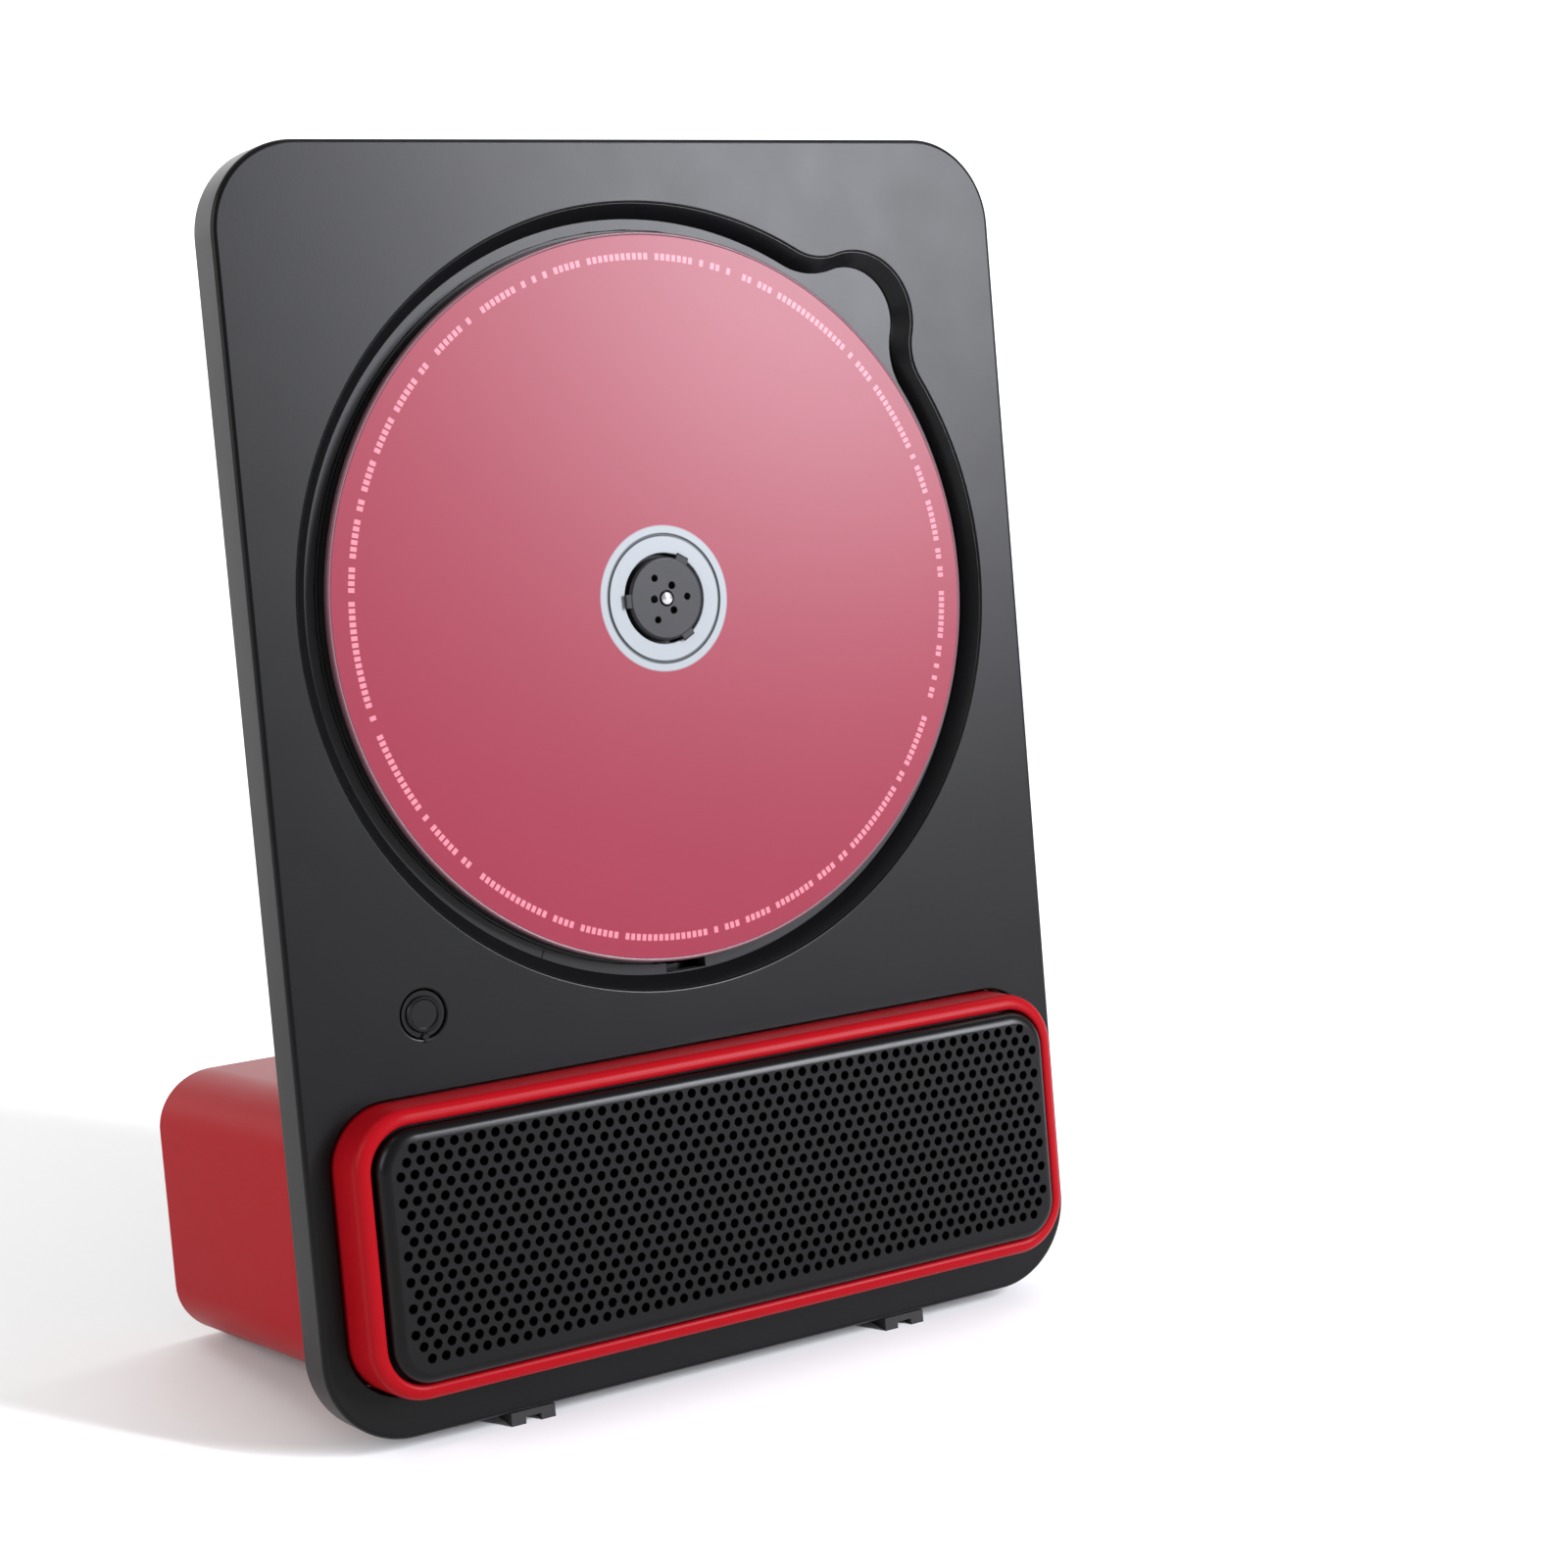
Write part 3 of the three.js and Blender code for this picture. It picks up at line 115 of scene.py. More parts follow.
def place(x=0.0, y=0.0, z=0.0):
    """Millimetres about a point of the slab, given by its own x, y and z, to the row frame."""
    origin = spindle + (right * x + into * y + rise * (z - WELL_Z)) * MM
    matrix = Matrix((right, into, rise)).transposed().to_4x4()
    return Matrix.Translation(origin) @ matrix @ Matrix.Scale(MM, 4)


ON_SLAB = place()
ON_DISC = place(z=WELL_Z)
ON_CASE = place(z=CASE_Z)

# ---------------------------------------------------------------- outlines


def arc(x, z, radius, start, end, steps):
    """Points of an arc, without its last one."""
    angles = [start + (end - start) * i / steps for i in range(steps)]
    return [(x + radius * math.cos(a), z + radius * math.sin(a)) for a in angles]


def circle(radius, steps=128, x=0.0, z=0.0):
    return arc(x, z, radius, 0, 2 * math.pi, steps)


def rounded_rectangle(width, height, radius, steps=16):
    x, z = width / 2 - radius, height / 2 - radius
    points = []
    for quarter, (sx, sz) in enumerate([(1, 1), (-1, 1), (-1, -1), (1, -1)]):
        start = quarter * math.pi / 2
        end = start + math.pi / 2
        points += arc(sx * x, sz * z, radius, start, end, steps)
        points.append((sx * x + radius * math.cos(end), sz * z + radius * math.sin(end)))
    return points


def well_outline(offset):
    """The well's rim about the disc's axis: a circle and the notch, blended by two fillets."""
    notch_steps, fillet_steps, circle_steps = 28, 20, 200
    reach = WELL_RADIUS + NOTCH_FILLET
    to_notch = NOTCH_RADIUS + NOTCH_FILLET
    opening = math.acos((reach**2 + NOTCH_REACH**2 - to_notch**2) / (2 * reach * NOTCH_REACH))
    fillet = (reach * math.cos(opening), reach * math.sin(opening))
    sweep = math.atan2(fillet[1], fillet[0] - NOTCH_REACH)
    inner = NOTCH_FILLET - offset
    points = arc(NOTCH_REACH, 0, NOTCH_RADIUS + offset, -sweep, sweep, notch_steps)
    points += arc(*fillet, inner, sweep + math.pi, opening + math.pi, fillet_steps)
    points += arc(0, 0, WELL_RADIUS + offset, opening, 2 * math.pi - opening, circle_steps)
    points += arc(fillet[0], -fillet[1], inner, math.pi - opening, math.pi - sweep, fillet_steps)
    cosine, sine = math.cos(NOTCH_ANGLE), math.sin(NOTCH_ANGLE)
    return [(x * cosine - z * sine, x * sine + z * cosine) for x, z in points]


def case_outline(inset, y):
    """The speaker case's section at a depth: its sides flare outwards towards the back."""
    growth = 1 + 2 * CASE_FLARE * y / CASE_WIDTH
    section = rounded_rectangle(CASE_WIDTH - 2 * inset, CASE_HEIGHT - 2 * inset, CASE_CORNER - inset)
    return [(x * growth, z) for x, z in section]


def rounded_edge(radius, front, steps=4):
    """(inset, y) pairs of a rounded edge that starts on the front face."""
    angles = [i / steps * math.pi / 2 for i in range(steps + 1)]
    return [(radius * (1 - math.sin(a)), front + radius * (1 - math.cos(a))) for a in angles]


# ---------------------------------------------------------------- meshes


def add_ring(bm, outline, y):
    """A ring of vertices at one depth, from (x, z) points."""
    return [bm.verts.new((x, y, z)) for x, z in outline]


def skin(bm, rings):
    """The faces between each ring and the next."""
    for lower, upper in zip(rings, rings[1:]):
        for i in range(len(lower)):
            j = (i + 1) % len(lower)
            bm.faces.new((lower[i], lower[j], upper[j], upper[i]))


def capped_skin(bm, rings):
    """A solid through the rings, closed at both ends."""
    skin(bm, rings)
    bm.faces.new(rings[0])
    bm.faces.new(rings[-1])


def loop_edges(bm, ring):
    """The edges between a closed ring's vertices."""
    return [bm.edges.get((ring[i - 1], ring[i])) for i in range(len(ring))]


def pierced_plate(bm, walls):
    """A plate with holes. Each wall is (outline function, [(inset, y), ...]) from the front
    face's edge to the back face's edge: the outside first, then each hole."""
    fronts, backs = [], []
    for outline, section in walls:
        rings = [add_ring(bm, outline(inset, y), y) for inset, y in section]
        skin(bm, rings)
        fronts += loop_edges(bm, rings[0])
        backs += loop_edges(bm, rings[-1])
    bmesh.ops.triangle_fill(bm, edges=fronts, use_beauty=True, use_dissolve=False)
    bmesh.ops.triangle_fill(bm, edges=backs, use_beauty=True, use_dissolve=False)


def turned(bm, corners, steps=96):
    """A solid turned about an axis along y, from (radius, y) corners that start and end on
    the axis or close on themselves."""
    on_axis, merged = 0.001, 0.0015
    rings = [add_ring(bm, circle(max(radius, on_axis), steps), y) for radius, y in corners]
    if corners[0] == corners[-1]:
        skin(bm, rings)
    else:
        capped_skin(bm, rings)
    bmesh.ops.remove_doubles(bm, verts=bm.verts, dist=merged)


def finish(name, bm, where, material, body="root", stands_for=(), sharp=32, own_centre=False):
    """Makes the mesh an object that rides on its body. It is smooth, but for its sharp edges and
    the flat faces that look forwards or backwards. An object with its own centre keeps its mesh
    about that centre, in metres, so that its material can measure from there."""
    bmesh.ops.recalc_face_normals(bm, faces=bm.faces)
    mesh = bpy.data.meshes.new(name)
    bm.to_mesh(mesh)
    bm.free()
    mesh.set_sharp_from_angle(angle=math.radians(sharp))
    facing = 0.9999
    mesh.polygons.foreach_set("use_smooth", [abs(face.normal.y) < facing for face in mesh.polygons])
    mesh.transform(Matrix.Scale(MM, 4) if own_centre else where)
    mesh.materials.append(material)
    piece = bpy.data.objects.new(name, mesh)
    bpy.context.collection.objects.link(piece)
    if own_centre:
        piece.matrix_world = where @ Matrix.Scale(1 / MM, 4)
    weighted = piece.modifiers.new("weighted", "WEIGHTED_NORMAL")
    weighted.keep_sharp = True
    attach(piece, body)
    if stands_for:
        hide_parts(*stands_for)
    return piece


# ---------------------------------------------------------------- materials


class Nodes:
    """A material's node tree, with short calls for the nodes that are used here."""

    def __init__(self, name):
        self.material = bpy.data.materials.new(name)
        self.material.use_nodes = True
        self.tree = self.material.node_tree
        self.shader = self.tree.nodes["Principled BSDF"]

    def node(self, kind, inputs=None, **settings):
        """A new node. Each input is a plain value or another node's output."""
        made = self.tree.nodes.new(kind)
        for key, value in settings.items():
            setattr(made, key, value)
        for key, value in (inputs or {}).items():
            self.set(made.inputs[key], value)
        return made

    def set(self, socket, value):
        if isinstance(value, bpy.types.NodeSocket):
            self.tree.links.new(value, socket)
        else:
            socket.default_value = value

    def calculate(self, operation, *values):
        inputs = dict(enumerate(values))
        return self.node("ShaderNodeMath", inputs, operation=operation).outputs[0]

    def noise(self, scale, detail=2.0, stretch=None):
        vector = self.node("ShaderNodeTexCoord").outputs["Object"]
        if stretch:
            vector = self.node("ShaderNodeMapping", {"Vector": vector, "Scale": stretch}).outputs[0]
        inputs = {"Vector": vector, "Scale": scale, "Detail": detail}
        return self.node("ShaderNodeTexNoise", inputs).outputs["Fac"]

    def between(self, factor, low, high):
        """A number that goes from low to high as the factor goes from 0 to 1."""
        inputs = {"Value": factor, "To Min": low, "To Max": high}
        return self.node("ShaderNodeMapRange", inputs).outputs[0]

    def mix(self, factor, first, second):
        mixer = self.node("ShaderNodeMix", data_type="RGBA")
        self.set(mixer.inputs["Factor"], factor)
        self.set(mixer.inputs[6], first)
        self.set(mixer.inputs[7], second)
        return mixer.outputs[2]

    def bump(self, height, strength, distance):
        inputs = {"Height": height, "Strength": strength, "Distance": distance}
        self.set(self.shader.inputs["Normal"], self.node("ShaderNodeBump", inputs).outputs[0])


def colour(red, green, blue):
    return (red, green, blue, 1.0)


def moulded(name, dark, light, roughness, grain=0.08, grain_scale=1800.0,
            specular=0.5, coat=0.0, index=1.5):
    """Moulded plastic: a slight mottle in colour and gloss, and a fine grain in its surface."""
    nodes = Nodes(name)
    mottle = nodes.noise(24.0, 4.0)
    nodes.set(nodes.shader.inputs["Base Color"], nodes.mix(mottle, dark, light))
    sheen = nodes.noise(90.0, 3.0)
    duller, glossier = roughness * 1.08, roughness * 0.92
    nodes.set(nodes.shader.inputs["Roughness"], nodes.between(sheen, glossier, duller))
    nodes.shader.inputs["Specular IOR Level"].default_value = specular
    nodes.shader.inputs["IOR"].default_value = index
    nodes.shader.inputs["Coat Weight"].default_value = coat
    nodes.shader.inputs["Coat Roughness"].default_value = 0.08
    nodes.bump(nodes.noise(grain_scale, 2.0), grain, 0.00005)
    return nodes.material


def metal(name, tint, roughness):
    """Plain metal with a faint drawn grain."""
    nodes = Nodes(name)
    grain = nodes.noise(600.0, 3.0, stretch=(1.0, 1.0, 14.0))
    shade = 0.82
    darker = colour(*[shade * part for part in tint[:3]])
    nodes.set(nodes.shader.inputs["Base Color"], nodes.mix(grain, darker, tint))
    nodes.set(nodes.shader.inputs["Roughness"], nodes.between(grain, roughness * 0.8, roughness * 1.2))
    nodes.shader.inputs["Metallic"].default_value = 1.0
    nodes.bump(grain, 0.06, 0.00003)
    return nodes.material


charcoal = moulded(
    "charcoal", colour(0.0012, 0.0012, 0.0014), colour(0.0016, 0.0016, 0.0019), 0.33, specular=0.17)
# The slab's charcoal painted lighter: painted light that brightens the tray's ledge where it lies in the
# disc's shade.
tray_charcoal_painted_light = moulded(
    "tray_charcoal_painted_light", colour(0.019, 0.019, 0.020), colour(0.022, 0.022, 0.023), 0.33, specular=0.17)
gloss_black = moulded(
    "gloss_black", colour(0.004, 0.004, 0.0045), colour(0.006, 0.006, 0.0065), 0.25, 0.02, specular=0.15)
matt_black = moulded(
    "matt_black", colour(0.006, 0.006, 0.0065), colour(0.009, 0.009, 0.010), 0.55, 0.12, specular=0.3)
grille_black = moulded(
    "grille_black", colour(0.0015, 0.0015, 0.0017), colour(0.002, 0.002, 0.0022), 0.3, 0.05,
    specular=0.17)
case_red = moulded(
    "case_red", colour(0.25, 0.003, 0.006), colour(0.27, 0.004, 0.008), 0.32, 0.0, index=1.13)
hub_grey = moulded(
    "hub_grey", colour(0.010, 0.010, 0.012), colour(0.013, 0.013, 0.015), 0.4, specular=0.2)
rubber = moulded(
    "rubber", colour(0.008, 0.008, 0.008), colour(0.014, 0.014, 0.014), 0.8, 0.25, 900.0)
gear_white = moulded(
    "gear_white", colour(0.70, 0.69, 0.64), colour(0.76, 0.75, 0.71), 0.45)
cone_paper = moulded(
    "cone_paper", colour(0.008, 0.008, 0.009), colour(0.02, 0.02, 0.021), 0.85, 0.4, 500.0)
cell_blue = moulded(
    "cell_blue", colour(0.02, 0.08, 0.28), colour(0.03, 0.11, 0.34), 0.3, 0.03)
lens_glass = moulded(
    "lens_glass", colour(0.10, 0.14, 0.34), colour(0.14, 0.18, 0.4), 0.06, 0.0, coat=1.0)
bright_steel = metal("bright_steel", colour(0.62, 0.62, 0.64), 0.28)
dark_steel = metal("dark_steel", colour(0.035, 0.035, 0.038), 0.45)


def circuit_board():
    """Green solder mask over copper tracks that run in straight steps."""
    nodes = Nodes("circuit_board")
    vector = nodes.node("ShaderNodeTexCoord").outputs["Object"]
    bricks = nodes.node("ShaderNodeTexBrick", {"Vector": vector, "Scale": 160.0, "Mortar Size": 0.03})
    tracks = bricks.outputs["Fac"]
    mask = nodes.mix(tracks, colour(0.012, 0.11, 0.05), colour(0.03, 0.2, 0.08))
    nodes.set(nodes.shader.inputs["Base Color"], mask)
    nodes.shader.inputs["Roughness"].default_value = 0.35
    nodes.bump(tracks, 0.15, 0.00005)
    return nodes.material


board_green = circuit_board()


def disc_label():
    """The disc by its radius: a pale hub ring with painted shade in its fine groove, a printed
    crimson label with a ring of small dashes near its edge, and a clear rim."""
    nodes = Nodes("disc_label")
    vector = nodes.node("ShaderNodeTexCoord").outputs["Object"]
    split = nodes.node("ShaderNodeSeparateXYZ", {"Vector": vector})
    x, z = split.outputs["X"], split.outputs["Z"]
    x_squared, z_squared = nodes.calculate("MULTIPLY", x, x), nodes.calculate("MULTIPLY", z, z)
    radius = nodes.calculate("SQRT", nodes.calculate("ADD", x_squared, z_squared))
    angle = nodes.calculate("ARCTAN2", z, x)

    def beyond(limit, soft=0.0001):
        inputs = {"Value": radius, "From Min": limit * MM - soft, "From Max": limit * MM + soft}
        return nodes.node("ShaderNodeMapRange", inputs).outputs[0]

    dash_ring = nodes.calculate("SUBTRACT", beyond(DASH_INNER), beyond(DASH_OUTER))
    steps = nodes.calculate("MULTIPLY", angle, DASH_STEPS / (2 * math.pi))
    space, blank = 0.32, 0.16  # share of a step left between dashes, and of steps left out
    marks = nodes.calculate("GREATER_THAN", nodes.calculate("FRACT", steps), space)
    step = {"W": nodes.calculate("FLOOR", steps)}
    chance = nodes.node("ShaderNodeTexWhiteNoise", step, noise_dimensions="1D").outputs["Value"]
    filled = nodes.calculate("GREATER_THAN", chance, blank)
    dashes = nodes.calculate("MULTIPLY", dash_ring, nodes.calculate("MULTIPLY", marks, filled))

    # The fine groove is painted dark across its width and a little beyond: painted shade in the groove.
    groove_inner, groove_outer = RING_RADIUS - 1.5 * GROOVE, RING_RADIUS + 1.5 * GROOVE
    groove_painted_shade = nodes.calculate("SUBTRACT", beyond(groove_inner), beyond(groove_outer))
    on_rim = beyond(LABEL_RADIUS)
    mottle = nodes.noise(30.0, 3.0)
    print_red = nodes.mix(mottle, colour(0.190, 0.016, 0.034), colour(0.205, 0.018, 0.038))
    inked = nodes.mix(dashes, print_red, colour(0.50, 0.16, 0.20))
    rimmed = nodes.mix(on_rim, inked, colour(0.10, 0.045, 0.055))
    silver_with_groove_shade = nodes.mix(groove_painted_shade, colour(0.25, 0.27, 0.285), colour(0.05, 0.055, 0.06))
    whole = nodes.mix(beyond(PRINT_RADIUS, 0.00015), silver_with_groove_shade, rimmed)
    nodes.set(nodes.shader.inputs["Base Color"], whole)
    nodes.set(nodes.shader.inputs["Roughness"], nodes.between(on_rim, 0.3, 0.28))
    nodes.set(nodes.shader.inputs["Specular IOR Level"], nodes.between(on_rim, 0.17, 0.22))
    nodes.bump(dashes, 0.1, 0.00003)
    return nodes.material


# ---------------------------------------------------------------- the slab


def front_panel():
    """The slab's front and rim, open behind, with openings for the well, the speaker case and the
    play button."""
    def slab(inset, _y):
        return rounded_rectangle(SLAB_WIDTH - 2 * inset, SLAB_HEIGHT - 2 * inset, SLAB_CORNER - inset, 24)

    def well(inset, _y):
        return [(x, z + WELL_Z) for x, z in well_outline(inset)]

    def case_window(inset, _y):
        return [(x, z + CASE_Z) for x, z in case_outline(-GAP - inset, SLAB_WALL)]

    def play_bore(inset, _y):
        return circle(PLAY_BORE + inset, 64, PLAY_X, PLAY_Z)

    outside = rounded_edge(SLAB_FRONT_EDGE, 0.0)
    outside += [(inset, SLAB_DEPTH - y) for inset, y in reversed(rounded_edge(SLAB_BACK_EDGE, 0.0))]
    outside += [(SLAB_WALL, SLAB_DEPTH), (SLAB_WALL, SLAB_WALL)]
    hole = rounded_edge(WINDOW_EDGE, 0.0) + [(0.0, SLAB_WALL)]
    bm = bmesh.new()
    pierced_plate(bm, [(slab, outside), (well, hole), (case_window, hole), (play_bore, hole)])
    finish("slab_front", bm, ON_SLAB, charcoal, stands_for=["front_panel"])


def well_bezel():
    """A gloss lip that slopes in to the ledge round the disc."""
    def rim(inset, _y):
        return well_outline(-inset)

    def throat(inset, _y):
        return well_outline(inset)

    crest, toe, foot = 0.05, 0.1, WELL_DEPTH - GAP
    outside = [(BEZEL_CLEARANCE, BEZEL_FRONT), (BEZEL_CLEARANCE, SLAB_WALL)]
    inside = [(-BEZEL_CLEARANCE - crest, BEZEL_FRONT), (-BEZEL_SLOPE + toe, foot - 0.8 * toe)]
    inside += [(-BEZEL_SLOPE, foot + toe)]
    bm = bmesh.new()
    pierced_plate(bm, [(rim, outside), (throat, inside)])
    finish("well_bezel_ring", bm, ON_DISC, gloss_black, stands_for=["well_bezel"])


def play_button():
    """A dished cap with a raised rim. A shoulder fills its bore nearly flush, and a flange behind
    the slab keeps it in."""
    rim, bore = PLAY_RADIUS, PLAY_BORE - 0.25
    flange, stem = PLAY_BORE + 0.7, 1.2
    flange_front, flange_back, stem_end = 2.3, 3.0, 4.2
    corners = [(0, PLAY_DISH), (rim * 0.74, PLAY_DISH), (rim * 0.8, PLAY_DISH - 0.08)]
    corners += [(rim * 0.86, PLAY_FRONT), (rim * 0.93, PLAY_FRONT), (rim, PLAY_FRONT + 0.25)]
    corners += [(rim, PLAY_SHOULDER), (bore, PLAY_SHOULDER), (bore, flange_front)]
    corners += [(flange, flange_front), (flange, flange_back), (stem, flange_back)]
    corners += [(stem, stem_end), (0, stem_end)]
    bm = bmesh.new()
    turned(bm, corners, 64)
    finish("play_cap", bm, place(PLAY_X, 0, PLAY_Z), charcoal, "play_button", ["play_button"], 20)


def play_mark():
    """A small waisted lug on the lower edge of the play button's bore."""
    half = [(0.3, 0.1), (0.75, 0.7), (0.25, 1.1), (0.5, 1.45), (0.0, 1.65)]
    outline = [(x, -PLAY_RADIUS - reach) for x, reach in half]
    outline += [(-x, z) for x, z in reversed(outline[:-1])]
    section = [(0.82, -0.2), (1.0, -0.08), (1.0, 0.6)]
    middle = -PLAY_RADIUS - 0.9
    bm = bmesh.new()
    rings = []
    for size, y in section:
        rings.append(add_ring(bm, [(x * size, middle + (z - middle) * size) for x, z in outline], y))
    capped_skin(bm, rings)
    finish("play_lug", bm, place(PLAY_X, 0, PLAY_Z), charcoal)


def tray_seam():
    """The dark joint that crosses the ledge round the disc, below and to the left."""
    inner, outer, half = DISC_RADIUS + 0.75, WELL_RADIUS - BEZEL_SLOPE, SEAM_WIDTH / 2
    front, back = WELL_DEPTH - 0.03, WELL_DEPTH + 0.3
    cosine, sine = math.cos(SEAM_ANGLE), math.sin(SEAM_ANGLE)
    corners = [(inner, -half), (outer, -half), (outer, half), (inner, half)]
    outline = [(r * cosine - t * sine, r * sine + t * cosine) for r, t in corners]
    bm = bmesh.new()
    capped_skin(bm, [add_ring(bm, outline, y) for y in (front, back)])
    finish("tray_seam", bm, ON_DISC, gloss_black)


def tray_lip():
    """The ledge's inner lip, a narrow grooved ring that runs on under the disc. It is open at its
    foot, where the optical sled comes out furthest."""
    outer, top = DISC_RADIUS + LIP_REACH, WELL_DEPTH
    groove_outer, groove_inner = DISC_RADIUS + LIP_GROOVE, DISC_RADIUS - LIP_GROOVE
    groove_floor, back = top + LIP_GROOVE_DEPTH, top + LIP_DEPTH
    profile = [(outer, top), (groove_outer, top), (groove_outer, groove_floor)]
    profile += [(groove_inner, groove_floor), (groove_inner, top)]
    profile += [(LIP_INNER, top), (LIP_INNER, back), (outer, back)]
    steps, opening = 180, math.asin(SLED_OPENING / LIP_INNER)
    bm = bmesh.new()
    sections = []
    for i in range(steps + 1):
        angle = -math.pi / 2 + opening + (2 * math.pi - 2 * opening) * i / steps
        cosine, sine = math.cos(angle), math.sin(angle)
        sections.append([bm.verts.new((r * cosine, y, r * sine)) for r, y in profile])
    capped_skin(bm, sections)
    # In the tray's charcoal, painted lighter as painted light in the disc's shade.
    finish("tray_lip", bm, ON_DISC, tray_charcoal_painted_light)


# ---------------------------------------------------------------- disc and hub


def disc():
    """The disc, with a fine groove in its pale ring and a small step where the print stops."""
    step, rim_edge = 0.05, 0.35
    front, back, edge = DISC_FRONT, DISC_BACK, DISC_EDGE
    corners = [(DISC_BORE, front + edge), (DISC_BORE + edge, front), (RING_RADIUS - GROOVE, front)]
    corners += [(RING_RADIUS - GROOVE / 2, front + GROOVE), (RING_RADIUS + GROOVE / 2, front + GROOVE)]
    corners += [(RING_RADIUS + GROOVE, front), (LABEL_RADIUS - step, front)]
    corners += [(LABEL_RADIUS + step, front + step)]
    corners += [(DISC_RADIUS - inset, y) for inset, y in rounded_edge(rim_edge, front, 6)]
    corners += [(DISC_RADIUS, back - edge), (DISC_RADIUS - edge, back)]
    corners += [(DISC_BORE, back), (DISC_BORE, front + edge)]
    bm = bmesh.new()
    turned(bm, corners, 288)
    finish("printed_disc", bm, ON_DISC, disc_label(), "disc", ["disc"], 40, own_centre=True)


def hub_face():
    """The hub's face, with a hole for the spindle's tip and three outer and three inner holes."""
    front = DISC_FRONT - HUB_STANDOUT
    back = front + HUB_THICKNESS

    def hole(angle, reach, radius, steps):
        x, z = reach * math.cos(angle), reach * math.sin(angle)
        return lambda inset, _y: circle(radius + inset, steps, x, z)

    def rim(inset, _y):
        return circle(HUB_RADIUS - inset)

    edge = rounded_edge(MOULD_EDGE, front, 2) + [(0, back)]
    walls = [(rim, rounded_edge(HUB_EDGE, front) + [(0, back)])]
    walls.append((hole(0, 0, SPINDLE_HOLE, 32), edge))
    for i in range(3):
        third = i * 2 * math.pi / 3
        walls.append((hole(third, OUTER_HOLE_REACH, OUTER_HOLE_RADIUS, 20), edge))
        walls.append((hole(third + math.pi, INNER_HOLE_REACH, INNER_HOLE_RADIUS, 20), edge))
    bm = bmesh.new()
    pierced_plate(bm, walls)
    finish("hub_face", bm, ON_DISC, hub_grey, "spindle")


def platter():
    """The hub's side, black as painted shade where it shows in the disc's bore, the platter under the
    disc and the socket that sits on the shaft.
    """
    front = DISC_FRONT - HUB_STANDOUT + HUB_THICKNESS + STEM_START
    seat, side = DISC_BACK + GAP, HUB_RADIUS - 0.1
    back = seat + PLATTER_THICKNESS
    corners = [(SPINDLE_HOLE, front), (side, front), (side, seat), (PLATTER_RADIUS, seat)]
    corners += [(PLATTER_RADIUS, back), (STEM_RADIUS, back), (STEM_RADIUS, SOCKET_END)]
    corners += [(SPINDLE_HOLE, SOCKET_END), (SPINDLE_HOLE, front)]
    bm = bmesh.new()
    turned(bm, corners)
    finish("platter", bm, ON_DISC, matt_black, "spindle", ["turntable"])


def spindle_pin():
    """The shaft, with a domed tip in front of the hub."""
    front, radius = DISC_FRONT - HUB_STANDOUT, SPINDLE_HOLE - 0.15
    dome = [(0, -0.45), (0.6, -0.38), (1.0, -0.15), (radius, 0.2)]
    corners = [(r, front + y) for r, y in dome] + [(radius, PIN_END), (0, PIN_END)]
    bm = bmesh.new()
    turned(bm, corners, 48)
    finish("spindle_pin", bm, ON_DISC, bright_steel, "spindle", ["spindle_shaft"])


# ---------------------------------------------------------------- speaker case


def speaker_case():
    """The red shell: a tube through the slab, rounded at its front and its back."""
    outside = rounded_edge(CASE_OUTER_EDGE, CASE_FRONT, 6)
    outside += [(inset, CASE_BACK - y) for inset, y in reversed(rounded_edge(CASE_BACK_EDGE, 0.0, 5))]
    inside = [(CASE_WALL - inset, y) for inset, y in rounded_edge(CASE_INNER_EDGE, CASE_FRONT)]
    inside += [(CASE_WALL, CASE_BACK)]
    bm = bmesh.new()
    pierced_plate(bm, [(case_outline, outside), (case_outline, inside)])
    finish("speaker_shell", bm, ON_CASE, case_red, stands_for=["speaker_case"])


def hole_centres():
    """A triangular grid of holes. The first and last rows are two holes shorter, so that the
    pattern's corners are cut back."""
    row_height = HOLE_PITCH * math.sqrt(3) / 2
    for row in range(HOLE_ROWS):
        columns = HOLE_COLUMNS - row % 2
        if row in (0, HOLE_ROWS - 1):
            columns = HOLE_COLUMNS - 2
        z = ((HOLE_ROWS - 1) / 2 - row) * row_height + HOLE_RISE
        for column in range(columns):
            yield (column - (columns - 1) / 2) * HOLE_PITCH + HOLE_SHIFT, z


def speaker_grille():
    """The dark perforated plate in the case's mouth."""
    back = GRILLE_FRONT + GRILLE_THICKNESS
    hole_edge, hole_edge_depth = 0.1, 0.12

    def outline(inset, _y):
        mouth = case_outline(CASE_WALL + GAP + inset, CASE_FRONT)
        return [(x * GRILLE_NARROWING, z) for x, z in mouth]

    def hole(x, z):
        return lambda inset, _y: circle(HOLE_RADIUS + inset, 12, x, z)

    depth = [(hole_edge, GRILLE_FRONT), (0.0, GRILLE_FRONT + hole_edge_depth), (0.0, back)]
    walls = [(outline, rounded_edge(GRILLE_EDGE, GRILLE_FRONT, 8) + [(0, back)])]
    walls += [(hole(x, z), depth) for x, z in hole_centres()]
    bm = bmesh.new()
    pierced_plate(bm, walls)
    finish("perforated_grille", bm, ON_CASE, grille_black, stands_for=["speaker_grille"], sharp=40)


# ---------------------------------------------------------------- pieces kept from the model


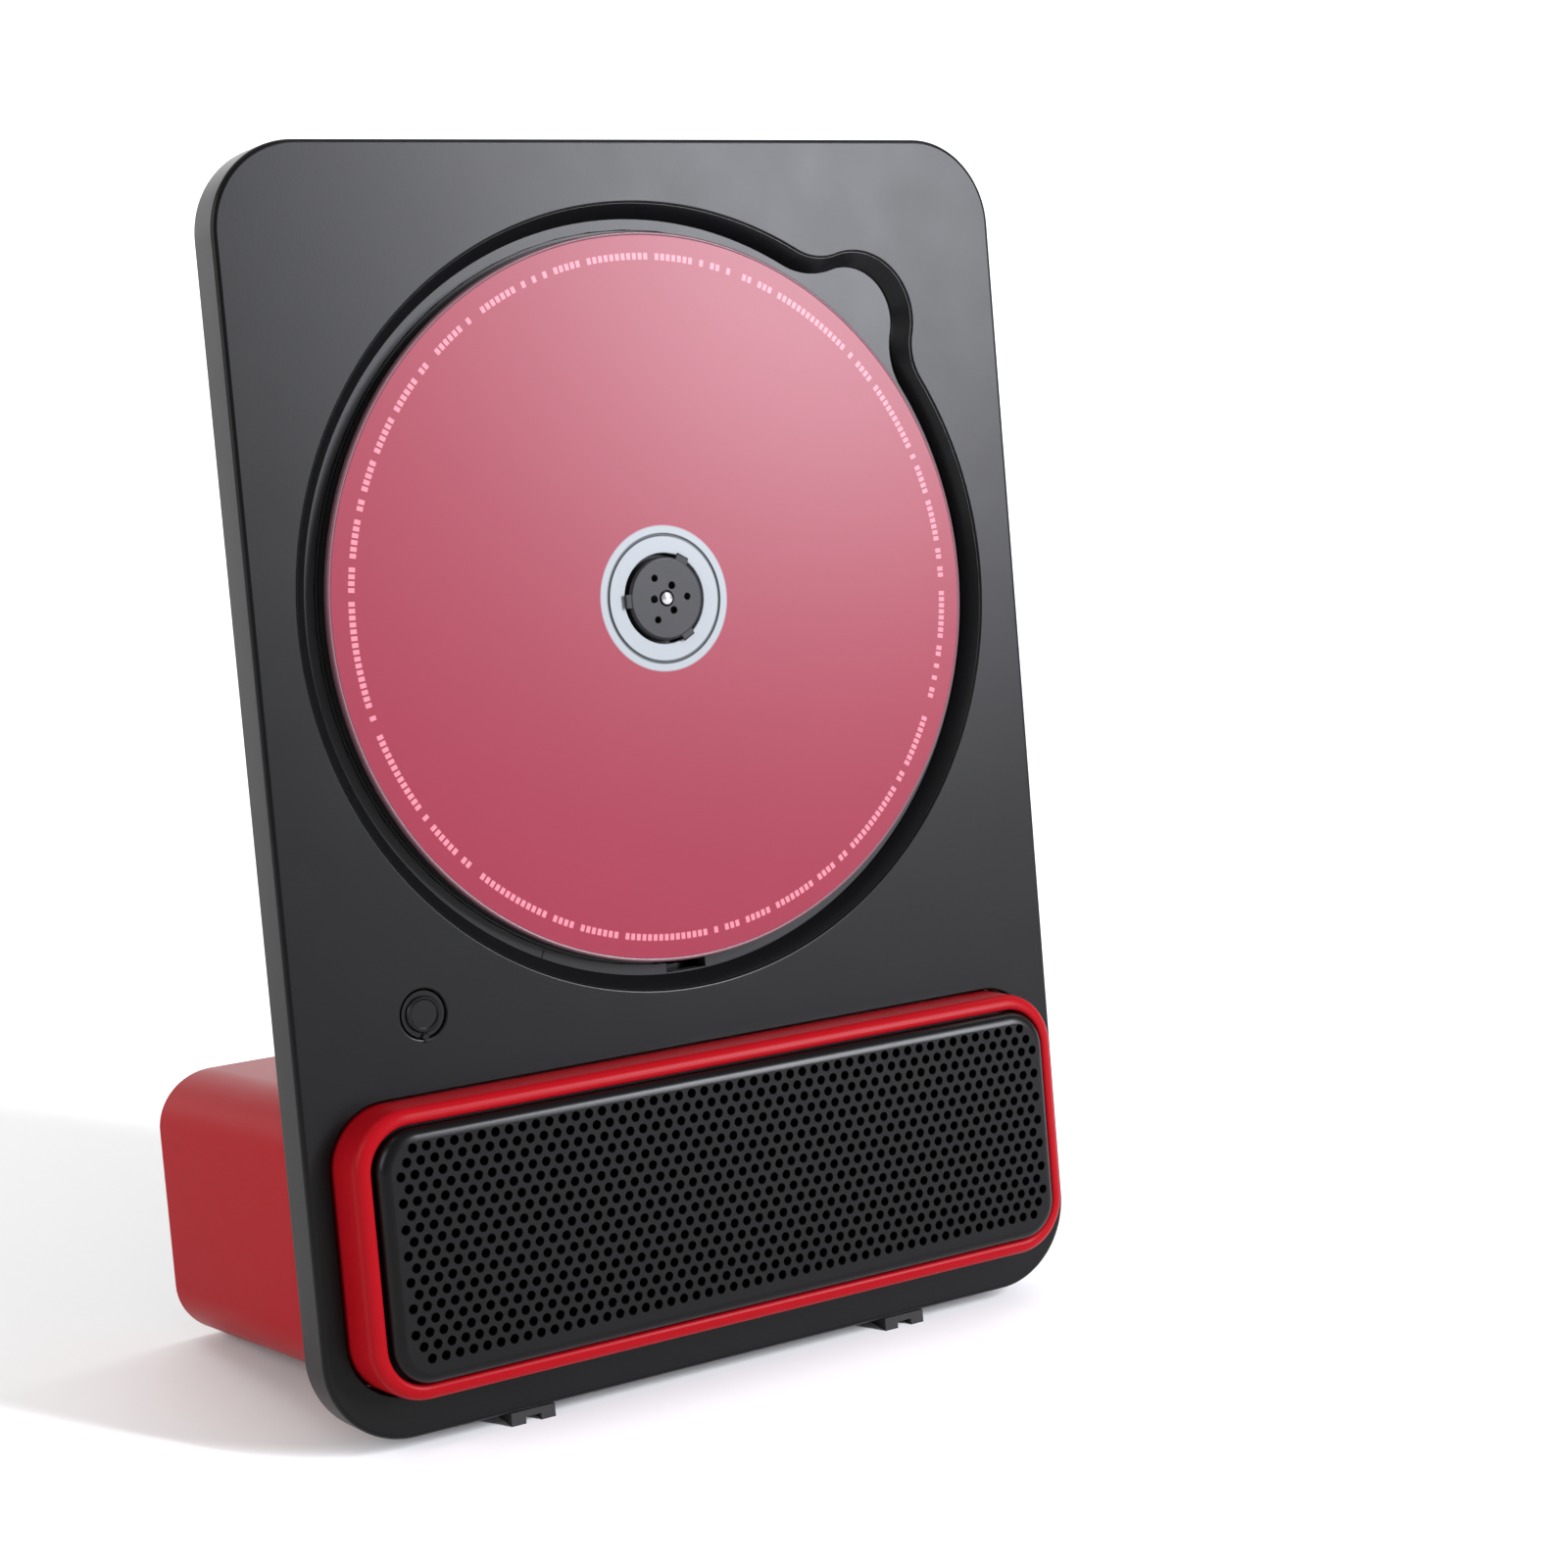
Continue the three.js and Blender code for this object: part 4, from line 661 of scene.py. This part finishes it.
KEPT = {
    # the tray in charcoal painted lighter, as painted light on its shaded ledge
    tray_charcoal_painted_light: ["disc_tray"],
    charcoal: ["rear_panel", "drive_housing", "drive_chassis", "power_switch", "volume_up_button",
               "volume_down_button"],
    matt_black: ["sled_base", "speaker_baffle", "battery_holder", "audio_jack", "rear_cover",
                 "disc_clip_1", "disc_clip_2", "disc_clip_3"],
    bright_steel: ["spindle_motor", "guide_rail_left", "guide_rail_right", "gear_axle", "feed_motor",
                   "power_inlet", "play_switch"],
    dark_steel: ["driver_basket_left", "driver_basket_right"]
    + [f"housing_screw_{i}" for i in range(1, 5)] + [f"cover_screw_{i}" for i in range(1, 5)],
    rubber: [f"damper_{i}" for i in range(1, 5)]
    + ["front_foot_left", "front_foot_right", "rear_pad_left", "rear_pad_right"],
    gear_white: ["transfer_gear", "feed_pinion", "sled_rack"],
    cone_paper: ["driver_cone_left", "driver_cone_right"],
    cell_blue: ["battery_cell_1", "battery_cell_2"],
    board_green: ["main_board", "drive_board"],
    lens_glass: ["pickup_lens"],
}


def keep(name, material):
    """A piece of the model stays as it is, with softened edges and its own material."""
    node = frame["nodes"][name]
    node.data.materials.clear()
    node.data.materials.append(material)
    bevel = node.modifiers.new("soft_edges", "BEVEL")
    bevel.width = (FOOT_EDGE if name.startswith("front_foot") else SOFT_EDGE) * MM
    bevel.segments = 3
    bevel.limit_method = "ANGLE"
    bevel.angle_limit = math.radians(40)
    bevel.harden_normals = True


front_panel()
well_bezel()
play_button()
play_mark()
tray_seam()
tray_lip()
disc()
hub_face()
platter()
spindle_pin()
speaker_case()
speaker_grille()
for kept_material, kept_names in KEPT.items():
    for kept_name in kept_names:
        keep(kept_name, kept_material)

# ---------------------------------------------------------------- floor, light and camera


def floor():
    """A pale sheet that lies under the player and curves up into a wall behind it."""
    half, reach, wall, bend, steps = 6.0, 2.2, 4.0, 1.2, 16
    angles = [i / steps * math.pi / 2 for i in range(steps + 1)]
    corner = [(reach + bend * math.sin(a), bend - bend * math.cos(a)) for a in angles]
    section = [(-half, 0.0)] + corner + [(reach + bend, wall)]
    bm = bmesh.new()
    rings = [[bm.verts.new((x, y, z)) for x in (-half, half)] for y, z in section]
    for near, far in zip(rings, rings[1:]):
        bm.faces.new((near[0], near[1], far[1], far[0]))
    mesh = bpy.data.meshes.new("floor")
    bm.to_mesh(mesh)
    bm.free()
    mesh.polygons.foreach_set("use_smooth", [True] * len(mesh.polygons))
    nodes = Nodes("pale_floor")
    pale = nodes.mix(nodes.noise(3.0), colour(0.81, 0.81, 0.81), colour(0.83, 0.83, 0.83))
    nodes.set(nodes.shader.inputs["Base Color"], pale)
    nodes.shader.inputs["Roughness"].default_value = 0.9
    nodes.shader.inputs["Specular IOR Level"].default_value = 0.1
    mesh.materials.append(nodes.material)
    plane = bpy.data.objects.new("floor", mesh)
    bpy.context.collection.objects.link(plane)


def softbox(name, location, target, width, height, power, tint=(1.0, 1.0, 1.0)):
    """An area light that faces its target; metres and watts."""
    light = bpy.data.lights.new(name, "AREA")
    light.shape = "RECTANGLE"
    light.size, light.size_y = width, height
    light.energy = power
    light.color = tint
    lamp = bpy.data.objects.new(name, light)
    lamp.location = location
    aim = Vector(target) - Vector(location)
    lamp.rotation_euler = aim.to_track_quat("-Z", "Y").to_euler()
    bpy.context.collection.objects.link(lamp)


def camera():
    """The photograph's viewpoint and field of view, fitted to the outlines of the player."""
    data = bpy.data.cameras.new("camera")
    data.sensor_width = 36.0
    data.lens = 68.08
    eye = bpy.data.objects.new("camera", data)
    tilt, turn = math.radians(12.08), math.radians(-32.84)
    eye.location = (-0.24595, -0.42980, 0.20173)
    eye.rotation_euler = (math.pi / 2 - tilt, 0.0, turn)
    bpy.context.collection.objects.link(eye)
    bpy.context.scene.camera = eye


def surroundings():
    """Even white light from all round, and plain display of the colours."""
    world = bpy.data.worlds.new("studio")
    world.use_nodes = True
    background = world.node_tree.nodes["Background"]
    background.inputs["Color"].default_value = colour(1.0, 1.0, 1.0)
    background.inputs["Strength"].default_value = 0.45
    bpy.context.scene.world = world
    bpy.context.scene.view_settings.view_transform = "Standard"


floor()
softbox("front_softbox", (1.109, -1.571, 0.993), (0.0, 0.0, 0.15),
        width=0.2, height=1.2, power=83, tint=(0.92, 0.93, 1.0))
softbox("left_softbox", (-1.2, -0.1, 0.6), (0.0, 0.0, 0.1), width=0.6, height=0.8, power=9)
softbox("back_softbox", (-0.8, 1.3, 0.35), (0.0, 0.0, 0.15), width=0.6, height=0.5, power=1.2)
softbox("wall_softbox", (1.2, 0.9, 2.6), (1.2, 3.4, 1.2), width=5.0, height=0.4, power=170)
surroundings()
camera()
